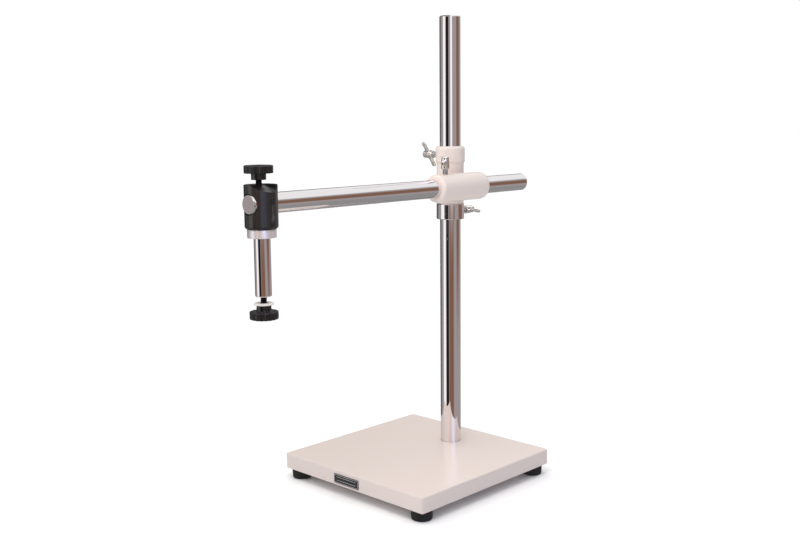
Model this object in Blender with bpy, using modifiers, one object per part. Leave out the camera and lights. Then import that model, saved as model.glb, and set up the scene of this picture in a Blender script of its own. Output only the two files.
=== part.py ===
"""Boom stand for a stereo microscope: a square base, an upright post, a safety collar,
a crosshead that carries a horizontal boom, and a head block with a mounting pin.

Metres, +Z up. The origin is the centre of the base plate's top face, the label faces -Y,
the post stands near the rear edge and the boom reaches forward past the front edge.
"""

import bmesh
import bpy
from math import cos, pi, radians, sin
from mathutils import Matrix, Vector

MM = 0.001
GAP = 0.3 * MM  # clearance between pieces that touch

# Base plate
BASE_SIZE = 270 * MM
BASE_THICKNESS = 22 * MM
BASE_CORNER_RADIUS = 4 * MM
BASE_EDGE_BEVEL = 1.5 * MM
LABEL_SIZE = (48 * MM, 13 * MM, 0.6 * MM)
LABEL_CENTRE_X = -6.5 * MM
LABEL_CENTRE_Z = -12 * MM

# Feet
FOOT_OFFSET = 118 * MM
FOOT_RADIUS = 14.6 * MM
FOOT_TAPER = 0.6 * MM
FOOT_HEIGHT = 14 * MM
FOOT_EDGE_RADIUS = 2.4 * MM
FOOT_SCREW_RADIUS = 2.5 * MM
FOOT_SCREW_HEAD_RADIUS = 4.6 * MM
FOOT_SCREW_HEAD_HEIGHT = 3.4 * MM
FOOT_SCREW_HEAD_ROUND = 1.6 * MM
FOOT_RECESS_DEPTH = 6 * MM
FOOT_RECESS_CLEARANCE = 0.8 * MM
FOOT_SCREW_REACH = 12 * MM

# Post
POST_RADIUS = 15 * MM
POST_Y = 74 * MM
POST_TOP = 621 * MM
POST_SOCKET_DEPTH = 4 * MM
POST_HOLE_SPARE = 6 * MM  # tapped deeper than the bolt reaches
DRILL_POINT = 3 * MM
BAR_CHAMFER = 1.5 * MM
POST_BOLT_RADIUS = 6 * MM
POST_BOLT_REACH = 24 * MM
POST_BOLT_HEAD_HEIGHT = 7.5 * MM
POST_BOLT_HEAD_ACROSS_CORNERS = 21.9 * MM
POST_WASHER_RADIUS = 12 * MM
POST_WASHER_THICKNESS = 2.5 * MM
BOLT_POCKET_RADIUS = 13 * MM
BOLT_POCKET_DEPTH = 13 * MM

# Safety collar
COLLAR_BOTTOM = 332.6 * MM
COLLAR_TOP = 355.0 * MM
COLLAR_RADIUS = 20 * MM
COLLAR_CHAMFER = 0.8 * MM
COLLAR_SCREW_Z = 343.5 * MM

# Crosshead: a sleeve on the post and a longer one beside it for the boom
BOOM_X = 32 * MM
BOOM_Z = 381 * MM
BOOM_RADIUS = 12.5 * MM
SLEEVE_RADIUS = 19.5 * MM
SLEEVE_BOTTOM = COLLAR_TOP + GAP
BAND_RADIUS = 21 * MM
BAND_BOTTOM = 414.7 * MM
BAND_TOP = 437.7 * MM
BAND_TOP_ROUND = 4 * MM
CROSS_FRONT_Y = POST_Y - 69.5 * MM
CROSS_REAR_Y = POST_Y + 30.7 * MM
CROSS_FRONT_ROUND = 4.5 * MM
CROSS_REAR_ROUND = 6 * MM
BORE_MOUTH = 0.5 * MM
POST_SCREW_Z = 425 * MM
BOOM_SCREW_Y = POST_Y - 47 * MM

# Boom
BOOM_FRONT_Y = POST_Y - 392.4 * MM
BOOM_REAR_Y = POST_Y + 126 * MM

# Wing screws and the pads they press with
SCREW_RADIUS = 4 * MM  # M8
WING_HUB_RADIUS = 5.8 * MM
WING_HUB_LENGTH = 17.5 * MM
WING_REACH = 21 * MM
WING_ROOT_RADIUS = 4.0 * MM
WING_NECK_RADIUS = 2.7 * MM
WING_TIP_RADIUS = 3.3 * MM
WING_FLATTEN = 0.7
WING_NECK_DROP = 4.5 * MM  # from the tip's centre to the narrowest place
WING_HUB_CROWN = 2 * MM
PAD_RADIUS = 3.4 * MM
PAD_THICKNESS = 2 * MM
POST_HUB_START = 32.5 * MM  # from the post's axis
COLLAR_HUB_START = 32.0 * MM
BOOM_HUB_START = 26.4 * MM  # from the boom's axis
POST_WING_TURN = radians(55)
BOOM_WING_TURN = radians(-60)
COLLAR_WING_TURN = radians(5)

# Head block and what hangs from it
HEAD_Y = POST_Y - 373.3 * MM
HEAD_RADIUS = 20 * MM
HEAD_BOTTOM = 351.3 * MM
HEAD_TOP = 403.7 * MM
HEAD_BOTTOM_ROUND = 3.5 * MM
HEAD_TOP_ROUND = 1.0 * MM
HEAD_RELIEF_SLOPE = radians(24)
HEAD_RELIEF_TURN = radians(11)
HEAD_RELIEF_BACK = 9 * MM
HEAD_RELIEF_FILLET = 8 * MM
GRUB_RADIUS = 2.5 * MM
GRUB_LENGTH = 6 * MM
GRUB_SOCKET_RADIUS = 1.45 * MM
GRUB_SOCKET_DEPTH = 2.5 * MM
GRUB_STANDOFF = 0.5 * MM
GRUB_Y = HEAD_Y + 1 * MM
RING_RADIUS = 17.4 * MM
RING_BOTTOM = 341.0 * MM
PIN_RADIUS = 10 * MM
PIN_BOTTOM = 270.7 * MM
PIN_SOCKET_DEPTH = 8 * MM
SAFETY_WASHER_RADIUS = 12 * MM
SAFETY_WASHER_THICKNESS = 2.2 * MM
SAFETY_WASHER_BOTTOM = 260.6 * MM

# Fluted knobs, used above the block and, upside down, under the pin
KNOB_RADIUS = 17.3 * MM
KNOB_RIM_HEIGHT = 9.4 * MM
KNOB_HUB_RADIUS = 9 * MM
KNOB_HUB_HEIGHT = 7.6 * MM
KNOB_EDGE_ROUND = 1.2 * MM
KNOB_FLUTES = 18
KNOB_FLUTE_RADIUS = 1.8 * MM
KNOB_FLUTE_DEPTH = 0.9 * MM
KNOB_HOLE_DEPTH = 12 * MM
TOP_KNOB_Y = POST_Y - 375.8 * MM
TOP_KNOB_HUB_BOTTOM = 409.2 * MM
SAFETY_KNOB_HUB_TOP = SAFETY_WASHER_BOTTOM - GAP
STUD_IN_PIN = 14 * MM

# Edges
EDGE_BREAK = 0.6 * MM
TIP_CHAMFER = 1 * MM

BAR_SIDES = 40
SMALL_SIDES = 24
SCREW_SIDES = 16
WING_SIDES = 12
FLUTE_SIDES = 6
ROUND_STEPS = 3
SMOOTH_ANGLE = radians(40)
MERGE = 0.00002
CUTTER_OVERRUN = 2 * MM

X_AXIS = Vector((1, 0, 0))
Y_AXIS = Vector((0, 1, 0))
Z_AXIS = Vector((0, 0, 1))

PALETTE = {
    "cream_stove_enamel": ((0.70, 0.65, 0.58), 0.0, 0.38),
    "chrome_plate": ((0.78, 0.78, 0.80), 1.0, 0.06),
    "bright_zinc": ((0.72, 0.72, 0.70), 1.0, 0.25),
    "dark_steel": ((0.20, 0.20, 0.21), 1.0, 0.40),
    "black_anodised": ((0.030, 0.026, 0.026), 0.4, 0.30),
    "black_phenolic": ((0.020, 0.018, 0.020), 0.0, 0.35),
    "turned_aluminium": ((0.80, 0.80, 0.79), 1.0, 0.28),
    "white_nylon": ((0.82, 0.80, 0.76), 0.0, 0.45),
    "black_rubber": ((0.012, 0.012, 0.012), 0.0, 0.60),
    "black_label_foil": ((0.015, 0.015, 0.016), 0.0, 0.35),
    "brass": ((0.72, 0.52, 0.22), 1.0, 0.30),
}


# ---------------------------------------------------------------- scene helpers


def clear_scene():
    for obj in list(bpy.data.objects):
        bpy.data.objects.remove(obj, do_unlink=True)


def new_collection(name, hidden=False):
    collection = bpy.data.collections.new(name)
    bpy.context.scene.collection.children.link(collection)
    collection.hide_render = hidden
    return collection


def make_material(name):
    colour, metallic, roughness = PALETTE[name]
    material = bpy.data.materials.new(name)
    material.use_nodes = True
    shader = material.node_tree.nodes["Principled BSDF"]
    shader.inputs["Base Color"].default_value = (*colour, 1.0)
    shader.inputs["Metallic"].default_value = metallic
    shader.inputs["Roughness"].default_value = roughness
    return material


def material_named(name):
    return bpy.data.materials.get(name) or make_material(name)


def add_object(name, mesh, collection, material=None, matrix=Matrix()):
    obj = bpy.data.objects.new(name, mesh)
    collection.objects.link(obj)
    obj.matrix_world = matrix
    if material:
        mesh.materials.append(material_named(material))
    return obj


def parent_keeping_place(obj, parent):
    obj.parent = parent
    obj.matrix_parent_inverse = parent.matrix_world.inverted()


def pointing(direction, origin, turn=0.0):
    """A matrix that puts local +Z along direction at origin, turned about it."""
    rotation = direction.to_track_quat("Z", "Y").to_matrix().to_4x4()
    return Matrix.Translation(origin) @ rotation @ Matrix.Rotation(turn, 4, "Z")


def smooth(mesh):
    mesh.shade_smooth()
    mesh.set_sharp_from_angle(angle=SMOOTH_ANGLE)


# ---------------------------------------------------------------- shape helpers


def arc(centre, radius, start, end, steps=ROUND_STEPS):
    """Points (radius, height) of an arc, angles in degrees."""
    angles = [radians(start + (end - start) * i / steps) for i in range(steps + 1)]
    return [(centre[0] + radius * cos(a), centre[1] + radius * sin(a)) for a in angles]


def turned_mesh(name, outline, closed=False):
    """The outline's edges, ready for a Screw modifier about local Z."""
    mesh = bpy.data.meshes.new(name)
    shape = bmesh.new()
    points = [shape.verts.new((radius, 0, height)) for radius, height in outline]
    for start, end in zip(points, points[1:]):
        shape.edges.new((start, end))
    if closed:
        shape.edges.new((points[-1], points[0]))
    shape.to_mesh(mesh)
    shape.free()
    return mesh


def turned(name, outline, collection, material=None, matrix=Matrix(), sides=BAR_SIDES, closed=False):
    """A turned solid: the outline runs down its outer side, from the axis or as a loop."""
    obj = add_object(name, turned_mesh(name, outline, closed), collection, material, matrix)
    screw = obj.modifiers.new("turn", "SCREW")
    screw.steps = sides
    screw.render_steps = sides
    screw.use_merge_vertices = True
    screw.merge_threshold = MERGE
    screw.use_smooth_shade = True
    return obj


def box(name, size, collection, material=None, matrix=Matrix()):
    mesh = bpy.data.meshes.new(name)
    shape = bmesh.new()
    bmesh.ops.create_cube(shape, size=1.0, matrix=Matrix.Diagonal((*size, 1.0)))
    shape.to_mesh(mesh)
    shape.free()
    return add_object(name, mesh, collection, material, matrix)


def rod(name, radius, start, end, collection, matrix=Matrix(), sides=SMALL_SIDES):
    """A plain cylinder from height start to end on the matrix's local Z."""
    mesh = bpy.data.meshes.new(name)
    shape = bmesh.new()
    bmesh.ops.create_cone(
        shape,
        cap_ends=True,
        segments=sides,
        radius1=radius,
        radius2=radius,
        depth=end - start,
        matrix=Matrix.Translation((0, 0, (start + end) / 2)),
    )
    shape.to_mesh(mesh)
    shape.free()
    return add_object(name, mesh, collection, matrix=matrix)


def boolean(obj, other, operation):
    modifier = obj.modifiers.new(other.name, "BOOLEAN")
    modifier.operation = operation
    modifier.solver = "EXACT"
    modifier.object = other
    other.hide_render = True
    other.display_type = "WIRE"


def cut(obj, *cutters):
    for cutter in cutters:
        boolean(obj, cutter, "DIFFERENCE")


def join(obj, *pieces):
    for piece in pieces:
        boolean(obj, piece, "UNION")


def edge_bevel(obj, width, segments=2):
    bevel = obj.modifiers.new("edges", "BEVEL")
    bevel.width = width
    bevel.segments = segments
    bevel.limit_method = "ANGLE"
    bevel.angle_limit = radians(60)


# ---------------------------------------------------------------- base


def foot_places():
    for side_y, row in ((-1, "front"), (1, "rear")):
        for side_x, side in ((-1, "left"), (1, "right")):
            place = Vector((side_x * FOOT_OFFSET, side_y * FOOT_OFFSET, -BASE_THICKNESS))
            yield f"{row}_{side}", place


def base_plate(parts, cutters):
    plate = box("base_plate", (BASE_SIZE, BASE_SIZE, BASE_THICKNESS), parts, "cream_stove_enamel")
    plate.data.transform(Matrix.Translation((0, 0, -BASE_THICKNESS / 2)))
    shape = bmesh.new()
    shape.from_mesh(plate.data)
    upright = [e for e in shape.edges if abs((e.verts[0].co - e.verts[1].co).z) > BASE_THICKNESS / 2]
    bmesh.ops.bevel(
        shape, geom=upright, offset=BASE_CORNER_RADIUS, segments=6, profile=0.5, affect="EDGES"
    )
    shape.to_mesh(plate.data)
    shape.free()
    edge_bevel(plate, BASE_EDGE_BEVEL, 3)

    on_post = Matrix.Translation((0, POST_Y, 0))
    socket = rod(
        "cut_post_socket",
        POST_RADIUS + GAP,
        -POST_SOCKET_DEPTH,
        CUTTER_OVERRUN,
        cutters,
        on_post,
        BAR_SIDES,
    )
    pocket = rod(
        "cut_bolt_pocket",
        BOLT_POCKET_RADIUS,
        -BASE_THICKNESS - CUTTER_OVERRUN,
        -BASE_THICKNESS + BOLT_POCKET_DEPTH,
        cutters,
        on_post,
    )
    passage = rod(
        "cut_bolt_passage", POST_BOLT_RADIUS + GAP, -BASE_THICKNESS, CUTTER_OVERRUN, cutters, on_post
    )
    cut(plate, socket, pocket, passage)
    for name, place in foot_places():
        hole = rod(
            f"cut_foot_hole_{name}",
            FOOT_SCREW_RADIUS + GAP,
            -CUTTER_OVERRUN,
            FOOT_SCREW_REACH + GAP,
            cutters,
            Matrix.Translation(place),
            SCREW_SIDES,
        )
        cut(plate, hole)
    return plate


def front_label(parts):
    width, height, thickness = LABEL_SIZE
    centre = Vector((LABEL_CENTRE_X, -BASE_SIZE / 2 - GAP - thickness / 2, LABEL_CENTRE_Z))
    place = Matrix.Translation(centre)
    return box("front_label", (width, thickness, height), parts, "black_label_foil", place)


def foot(name, place, parts):
    """A tapered rubber foot with a recess below for its screw's head."""
    bottom = -FOOT_HEIGHT
    low_radius = FOOT_RADIUS - FOOT_TAPER
    recess_floor = bottom + FOOT_RECESS_DEPTH
    recess_radius = FOOT_SCREW_HEAD_RADIUS + FOOT_RECESS_CLEARANCE
    outline = [(FOOT_RADIUS, -GAP)]
    outline += arc(
        (low_radius - FOOT_EDGE_RADIUS, bottom + FOOT_EDGE_RADIUS), FOOT_EDGE_RADIUS, 0, -90
    )
    outline += [
        (recess_radius, bottom),
        (recess_radius, recess_floor),
        (FOOT_SCREW_RADIUS + GAP, recess_floor),
        (FOOT_SCREW_RADIUS + GAP, -GAP),
    ]
    under = Matrix.Translation(place)
    return turned(f"foot_{name}", outline, parts, "black_rubber", under, SMALL_SIDES, closed=True)


def foot_screw(name, place, parts):
    """A pan-head screw that holds the foot, seen from below in the foot's recess."""
    seat = -FOOT_HEIGHT + FOOT_RECESS_DEPTH - GAP
    head_bottom = seat - FOOT_SCREW_HEAD_HEIGHT
    outline = [
        (0, FOOT_SCREW_REACH),
        (FOOT_SCREW_RADIUS, FOOT_SCREW_REACH),
        (FOOT_SCREW_RADIUS, seat),
        (FOOT_SCREW_HEAD_RADIUS, seat),
    ]
    outline += arc(
        (FOOT_SCREW_HEAD_RADIUS - FOOT_SCREW_HEAD_ROUND, head_bottom + FOOT_SCREW_HEAD_ROUND),
        FOOT_SCREW_HEAD_ROUND,
        0,
        -90,
        2,
    )
    outline += [(0, head_bottom)]
    return turned(
        f"foot_screw_{name}", outline, parts, "dark_steel", Matrix.Translation(place), SCREW_SIDES
    )


# ---------------------------------------------------------------- post


def post_bar(parts):
    """A solid bar, chamfered at both ends and tapped from below for the fixing bolt."""
    bottom = -POST_SOCKET_DEPTH + GAP
    hole_top = bottom + POST_BOLT_REACH + POST_HOLE_SPARE
    outline = [
        (0, POST_TOP),
        (POST_RADIUS - BAR_CHAMFER, POST_TOP),
        (POST_RADIUS, POST_TOP - BAR_CHAMFER),
        (POST_RADIUS, bottom + BAR_CHAMFER / 2),
        (POST_RADIUS - BAR_CHAMFER / 2, bottom),
        (POST_BOLT_RADIUS + GAP, bottom),
        (POST_BOLT_RADIUS + GAP, hole_top),
        (0, hole_top + DRILL_POINT),
    ]
    return turned("post_bar", outline, parts, "chrome_plate", Matrix.Translation((0, POST_Y, 0)))


def post_washer(parts):
    seat = -BASE_THICKNESS + BOLT_POCKET_DEPTH - GAP
    outline = [
        (POST_WASHER_RADIUS, seat),
        (POST_WASHER_RADIUS, seat - POST_WASHER_THICKNESS),
        (POST_BOLT_RADIUS + GAP, seat - POST_WASHER_THICKNESS),
        (POST_BOLT_RADIUS + GAP, seat),
    ]
    place = Matrix.Translation((0, POST_Y, 0))
    return turned("post_washer", outline, parts, "bright_zinc", place, SMALL_SIDES, closed=True)


def post_bolt(parts, cutters):
    """The hexagon-head bolt that pulls the post down into its socket."""
    head_top = -BASE_THICKNESS + BOLT_POCKET_DEPTH - POST_WASHER_THICKNESS - 2 * GAP
    head = rod(
        "post_bolt",
        POST_BOLT_HEAD_ACROSS_CORNERS / 2,
        head_top - POST_BOLT_HEAD_HEIGHT,
        head_top,
        parts,
        Matrix.Translation((0, POST_Y, 0)),
        6,
    )
    head.data.materials.append(material_named("bright_zinc"))
    top = -POST_SOCKET_DEPTH + POST_BOLT_REACH
    shank = turned(
        "add_bolt_shank",
        [
            (0, top),
            (POST_BOLT_RADIUS - TIP_CHAMFER, top),
            (POST_BOLT_RADIUS, top - TIP_CHAMFER),
            (POST_BOLT_RADIUS, head_top - POST_BOLT_HEAD_HEIGHT / 2),
            (0, head_top - POST_BOLT_HEAD_HEIGHT / 2),
        ],
        cutters,
        matrix=Matrix.Translation((0, POST_Y, 0)),
        sides=SMALL_SIDES,
    )
    join(head, shank)
    return head


# ---------------------------------------------------------------- clamp screws


def wing_outline():
    """Half of the wing pair's outline along its own length, as (radius, height)."""
    tip_centre = WING_REACH - WING_TIP_RADIUS
    half = [(0, WING_REACH)]
    half += arc((0, tip_centre), WING_TIP_RADIUS, 70, -15, 4)
    half += [(WING_NECK_RADIUS, tip_centre - WING_NECK_DROP), (WING_ROOT_RADIUS, WING_HUB_RADIUS)]
    return half


def wing_screw(name, shaft, hub_start, tip_start, parts, cutters):
    """A wing screw along the shaft matrix's local +Z: its tip is tip_start from the
    shaft's origin, its hub starts at hub_start and its wings lie along local X."""
    hub_end = hub_start + WING_HUB_LENGTH
    screw = turned(
        name,
        [
            (0, hub_end),
            (WING_HUB_RADIUS - WING_HUB_CROWN, hub_end),
            (WING_HUB_RADIUS - EDGE_BREAK, hub_end - EDGE_BREAK),
            (WING_HUB_RADIUS, hub_end - WING_HUB_CROWN),
            (WING_HUB_RADIUS, hub_start + WING_HUB_CROWN),
            (SCREW_RADIUS + EDGE_BREAK, hub_start),
            (SCREW_RADIUS, hub_start),
            (SCREW_RADIUS, tip_start + TIP_CHAMFER),
            (SCREW_RADIUS - TIP_CHAMFER, tip_start),
            (0, tip_start),
        ],
        parts,
        "bright_zinc",
        shaft,
        SCREW_SIDES,
    )
    half = wing_outline()
    outline = half + [(radius, -height) for radius, height in reversed(half)]
    at_hub = Matrix.Translation((0, 0, hub_start + WING_HUB_LENGTH / 2))
    across = Matrix.Rotation(pi / 2, 4, "Y") @ Matrix.Diagonal((1, WING_FLATTEN, 1, 1))
    wings = turned(f"add_wings_{name}", outline, cutters, sides=WING_SIDES)
    wings.matrix_world = shaft @ at_hub @ across
    join(screw, wings)
    return screw


def clamp_pad(name, shaft, start, parts):
    outline = [
        (0, start + PAD_THICKNESS),
        (PAD_RADIUS, start + PAD_THICKNESS),
        (PAD_RADIUS, start),
        (0, start),
    ]
    return turned(name, outline, parts, "brass", shaft, SCREW_SIDES)


# ---------------------------------------------------------------- collar


def safety_collar(parts, cutters, shaft):
    bore = POST_RADIUS + GAP
    outline = [
        (bore + COLLAR_CHAMFER, COLLAR_TOP),
        (COLLAR_RADIUS - COLLAR_CHAMFER, COLLAR_TOP),
        (COLLAR_RADIUS, COLLAR_TOP - COLLAR_CHAMFER),
        (COLLAR_RADIUS, COLLAR_BOTTOM + COLLAR_CHAMFER),
        (COLLAR_RADIUS - COLLAR_CHAMFER, COLLAR_BOTTOM),
        (bore + COLLAR_CHAMFER, COLLAR_BOTTOM),
        (bore, COLLAR_BOTTOM + COLLAR_CHAMFER),
        (bore, COLLAR_TOP - COLLAR_CHAMFER),
    ]
    place = Matrix.Translation((0, POST_Y, 0))
    collar = turned("safety_collar", outline, parts, "chrome_plate", place, SMALL_SIDES, closed=True)
    hole = rod("cut_collar_screw", SCREW_RADIUS + GAP, 0, 2 * COLLAR_RADIUS, cutters, shaft)
    cut(collar, hole)
    return collar


# ---------------------------------------------------------------- crosshead


def crosshead_casting(parts, cutters, post_shaft, boom_shaft):
    on_post = Matrix.Translation((0, POST_Y, 0))
    outline = [(0, BAND_TOP)]
    outline += arc(
        (BAND_RADIUS - BAND_TOP_ROUND, BAND_TOP - BAND_TOP_ROUND), BAND_TOP_ROUND, 90, 0
    )
    outline += [
        (BAND_RADIUS, BAND_BOTTOM + EDGE_BREAK),
        (SLEEVE_RADIUS, BAND_BOTTOM - EDGE_BREAK),
        (SLEEVE_RADIUS, SLEEVE_BOTTOM + EDGE_BREAK),
        (SLEEVE_RADIUS - EDGE_BREAK, SLEEVE_BOTTOM),
        (0, SLEEVE_BOTTOM),
    ]
    casting = turned("crosshead_casting", outline, parts, "cream_stove_enamel", on_post)

    along_boom = pointing(Y_AXIS, Vector((BOOM_X, 0, BOOM_Z)))
    sleeve_outline = [(0, CROSS_REAR_Y)]
    sleeve_outline += arc(
        (SLEEVE_RADIUS - CROSS_REAR_ROUND, CROSS_REAR_Y - CROSS_REAR_ROUND), CROSS_REAR_ROUND, 90, 0, 4
    )
    sleeve_outline += arc(
        (SLEEVE_RADIUS - CROSS_FRONT_ROUND, CROSS_FRONT_Y + CROSS_FRONT_ROUND),
        CROSS_FRONT_ROUND,
        0,
        -90,
    )
    sleeve_outline += [(0, CROSS_FRONT_Y)]
    join(casting, turned("add_boom_sleeve", sleeve_outline, cutters, matrix=along_boom))

    post_bore = rod(
        "cut_post_bore",
        POST_RADIUS + GAP,
        SLEEVE_BOTTOM - CUTTER_OVERRUN,
        BAND_TOP + CUTTER_OVERRUN,
        cutters,
        on_post,
        BAR_SIDES,
    )
    bore = BOOM_RADIUS + GAP
    front, rear = CROSS_FRONT_Y, CROSS_REAR_Y
    boom_bore = turned(
        "cut_boom_bore",
        [
            (0, rear + CUTTER_OVERRUN),
            (bore + BORE_MOUTH, rear + CUTTER_OVERRUN),
            (bore + BORE_MOUTH, rear),
            (bore, rear - BORE_MOUTH),
            (bore, front + BORE_MOUTH),
            (bore + BORE_MOUTH, front),
            (bore + BORE_MOUTH, front - CUTTER_OVERRUN),
            (0, front - CUTTER_OVERRUN),
        ],
        cutters,
        matrix=along_boom,
    )
    hole = SCREW_RADIUS + GAP
    post_screw_hole = rod("cut_post_screw", hole, 0, 2 * BAND_RADIUS, cutters, post_shaft)
    boom_screw_hole = rod("cut_boom_screw", hole, 0, 2 * SLEEVE_RADIUS, cutters, boom_shaft)
    cut(casting, post_bore, boom_bore, post_screw_hole, boom_screw_hole)
    return casting


def boom_bar(parts):
    place = pointing(Y_AXIS, Vector((BOOM_X, 0, BOOM_Z)))
    outline = [
        (0, BOOM_REAR_Y),
        (BOOM_RADIUS - BAR_CHAMFER, BOOM_REAR_Y),
        (BOOM_RADIUS, BOOM_REAR_Y - BAR_CHAMFER),
        (BOOM_RADIUS, BOOM_FRONT_Y + BAR_CHAMFER),
        (BOOM_RADIUS - BAR_CHAMFER, BOOM_FRONT_Y),
        (0, BOOM_FRONT_Y),
    ]
    return turned("boom_bar", outline, parts, "chrome_plate", place)


# ---------------------------------------------------------------- head


def under_head():
    """The vertical axis of the block, the pin and what is on the pin."""
    return Matrix.Translation((BOOM_X, HEAD_Y, 0))


def head_relief(cutters):
    """The cutter for the sloping relief, rounded where the slope runs into its back wall."""
    reach = 2 * HEAD_RADIUS
    relief = box("cut_relief", (reach, reach, HEAD_RADIUS), cutters)
    shape = bmesh.new()
    shape.from_mesh(relief.data)
    inside = [e for e in shape.edges if all(v.co.y > 0 and v.co.z < 0 for v in e.verts)]
    bmesh.ops.bevel(
        shape, geom=inside, offset=HEAD_RELIEF_FILLET, segments=5, profile=0.5, affect="EDGES"
    )
    shape.to_mesh(relief.data)
    shape.free()
    relief.matrix_world = (
        Matrix.Translation((BOOM_X, HEAD_Y, HEAD_TOP))
        @ Matrix.Rotation(HEAD_RELIEF_TURN, 4, "Z")
        @ Matrix.Rotation(HEAD_RELIEF_SLOPE, 4, "Y")
        @ Matrix.Translation((reach / 2, HEAD_RELIEF_BACK - reach / 2, HEAD_RADIUS / 2))
    )
    return relief


def head_block(parts, cutters, grub_shaft):
    """A round block bored for the boom, with a sloping relief on its right shoulder."""
    on_head = under_head()
    outline = [(0, HEAD_TOP)]
    outline += arc((HEAD_RADIUS - HEAD_TOP_ROUND, HEAD_TOP - HEAD_TOP_ROUND), HEAD_TOP_ROUND, 90, 0, 3)
    outline += arc(
        (HEAD_RADIUS - HEAD_BOTTOM_ROUND, HEAD_BOTTOM + HEAD_BOTTOM_ROUND), HEAD_BOTTOM_ROUND, 0, -90
    )
    outline += [(0, HEAD_BOTTOM)]
    block = turned("head_block", outline, parts, "black_anodised", on_head)

    boom_bore = rod(
        "cut_head_bore",
        BOOM_RADIUS + GAP,
        -2 * HEAD_RADIUS,
        2 * HEAD_RADIUS,
        cutters,
        pointing(Y_AXIS, Vector((BOOM_X, HEAD_Y, BOOM_Z))),
        BAR_SIDES,
    )
    pin_socket = rod(
        "cut_pin_socket",
        PIN_RADIUS + GAP,
        HEAD_BOTTOM - CUTTER_OVERRUN,
        HEAD_BOTTOM + PIN_SOCKET_DEPTH,
        cutters,
        on_head,
    )
    stud_hole = rod(
        "cut_stud_hole",
        SCREW_RADIUS + GAP,
        BOOM_Z,
        HEAD_TOP + CUTTER_OVERRUN,
        cutters,
        Matrix.Translation((BOOM_X, TOP_KNOB_Y, 0)),
    )
    grub_hole = rod(
        "cut_grub_hole", GRUB_RADIUS + GAP, 0, 2 * HEAD_RADIUS, cutters, grub_shaft, SCREW_SIDES
    )
    cut(block, boom_bore, pin_socket, stud_hole, grub_hole, head_relief(cutters))
    return block


def head_grub_screw(parts, cutters, grub_shaft):
    """A socket set screw in the block's right side, against the boom."""
    start = BOOM_RADIUS + GAP + GRUB_STANDOFF
    end = start + GRUB_LENGTH
    outline = [
        (0, end),
        (GRUB_RADIUS, end),
        (GRUB_RADIUS, start + EDGE_BREAK),
        (GRUB_RADIUS - EDGE_BREAK, start),
        (0, start),
    ]
    screw = turned("head_grub_screw", outline, parts, "dark_steel", grub_shaft, SCREW_SIDES)
    socket = rod(
        "cut_grub_socket",
        GRUB_SOCKET_RADIUS,
        end - GRUB_SOCKET_DEPTH,
        end + CUTTER_OVERRUN,
        cutters,
        grub_shaft,
        6,
    )
    cut(screw, socket)
    return screw


def bearing_ring(parts):
    """The turned ring under the block, which the carrier of the microscope bears on."""
    top, bottom = HEAD_BOTTOM - GAP, RING_BOTTOM
    inner = PIN_RADIUS + GAP
    outline = [
        (RING_RADIUS - EDGE_BREAK, top),
        (RING_RADIUS, top - EDGE_BREAK),
        (RING_RADIUS, bottom + EDGE_BREAK),
        (RING_RADIUS - EDGE_BREAK, bottom),
        (inner, bottom),
        (inner, top),
    ]
    return turned(
        "bearing_ring", outline, parts, "turned_aluminium", under_head(), SMALL_SIDES, closed=True
    )


def mounting_pin(parts):
    """The plain pin that carries the microscope, tapped at its lower end."""
    top = HEAD_BOTTOM + PIN_SOCKET_DEPTH - GAP
    hole_top = PIN_BOTTOM + STUD_IN_PIN + CUTTER_OVERRUN
    outline = [
        (0, top),
        (PIN_RADIUS, top),
        (PIN_RADIUS, PIN_BOTTOM + TIP_CHAMFER),
        (PIN_RADIUS - TIP_CHAMFER, PIN_BOTTOM),
        (SCREW_RADIUS + GAP, PIN_BOTTOM),
        (SCREW_RADIUS + GAP, hole_top),
        (0, hole_top + DRILL_POINT),
    ]
    return turned("mounting_pin", outline, parts, "chrome_plate", under_head(), SMALL_SIDES)


# ---------------------------------------------------------------- knobs


def fluted_knob(name, place, parts, cutters):
    """A knob whose hub starts at the place's local origin, with the fluted rim above it."""
    rim_bottom, top = KNOB_HUB_HEIGHT, KNOB_HUB_HEIGHT + KNOB_RIM_HEIGHT
    bore = SCREW_RADIUS + GAP
    outline = [(0, top)]
    outline += arc((KNOB_RADIUS - KNOB_EDGE_ROUND, top - KNOB_EDGE_ROUND), KNOB_EDGE_ROUND, 90, 0, 3)
    outline += [
        (KNOB_RADIUS, rim_bottom + EDGE_BREAK),
        (KNOB_RADIUS - EDGE_BREAK, rim_bottom),
        (KNOB_HUB_RADIUS, rim_bottom),
        (KNOB_HUB_RADIUS, EDGE_BREAK),
        (KNOB_HUB_RADIUS - EDGE_BREAK, 0),
        (bore, 0),
        (bore, KNOB_HOLE_DEPTH),
        (0, KNOB_HOLE_DEPTH + TIP_CHAMFER),
    ]
    knob = turned(name, outline, parts, "black_phenolic", place, 2 * KNOB_FLUTES)

    mesh = bpy.data.meshes.new(f"cut_flutes_{name}")
    shape = bmesh.new()
    centre_radius = KNOB_RADIUS + KNOB_FLUTE_RADIUS - KNOB_FLUTE_DEPTH
    for index in range(KNOB_FLUTES):
        around = Matrix.Rotation(2 * pi * (index + 0.5) / KNOB_FLUTES, 4, "Z")
        bmesh.ops.create_cone(
            shape,
            cap_ends=True,
            segments=FLUTE_SIDES,
            radius1=KNOB_FLUTE_RADIUS,
            radius2=KNOB_FLUTE_RADIUS,
            depth=KNOB_RIM_HEIGHT + 2 * CUTTER_OVERRUN,
            matrix=around @ Matrix.Translation((centre_radius, 0, (rim_bottom + top) / 2)),
        )
    shape.to_mesh(mesh)
    shape.free()
    cut(knob, add_object(f"cut_flutes_{name}", mesh, cutters, matrix=place))
    return knob


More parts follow.
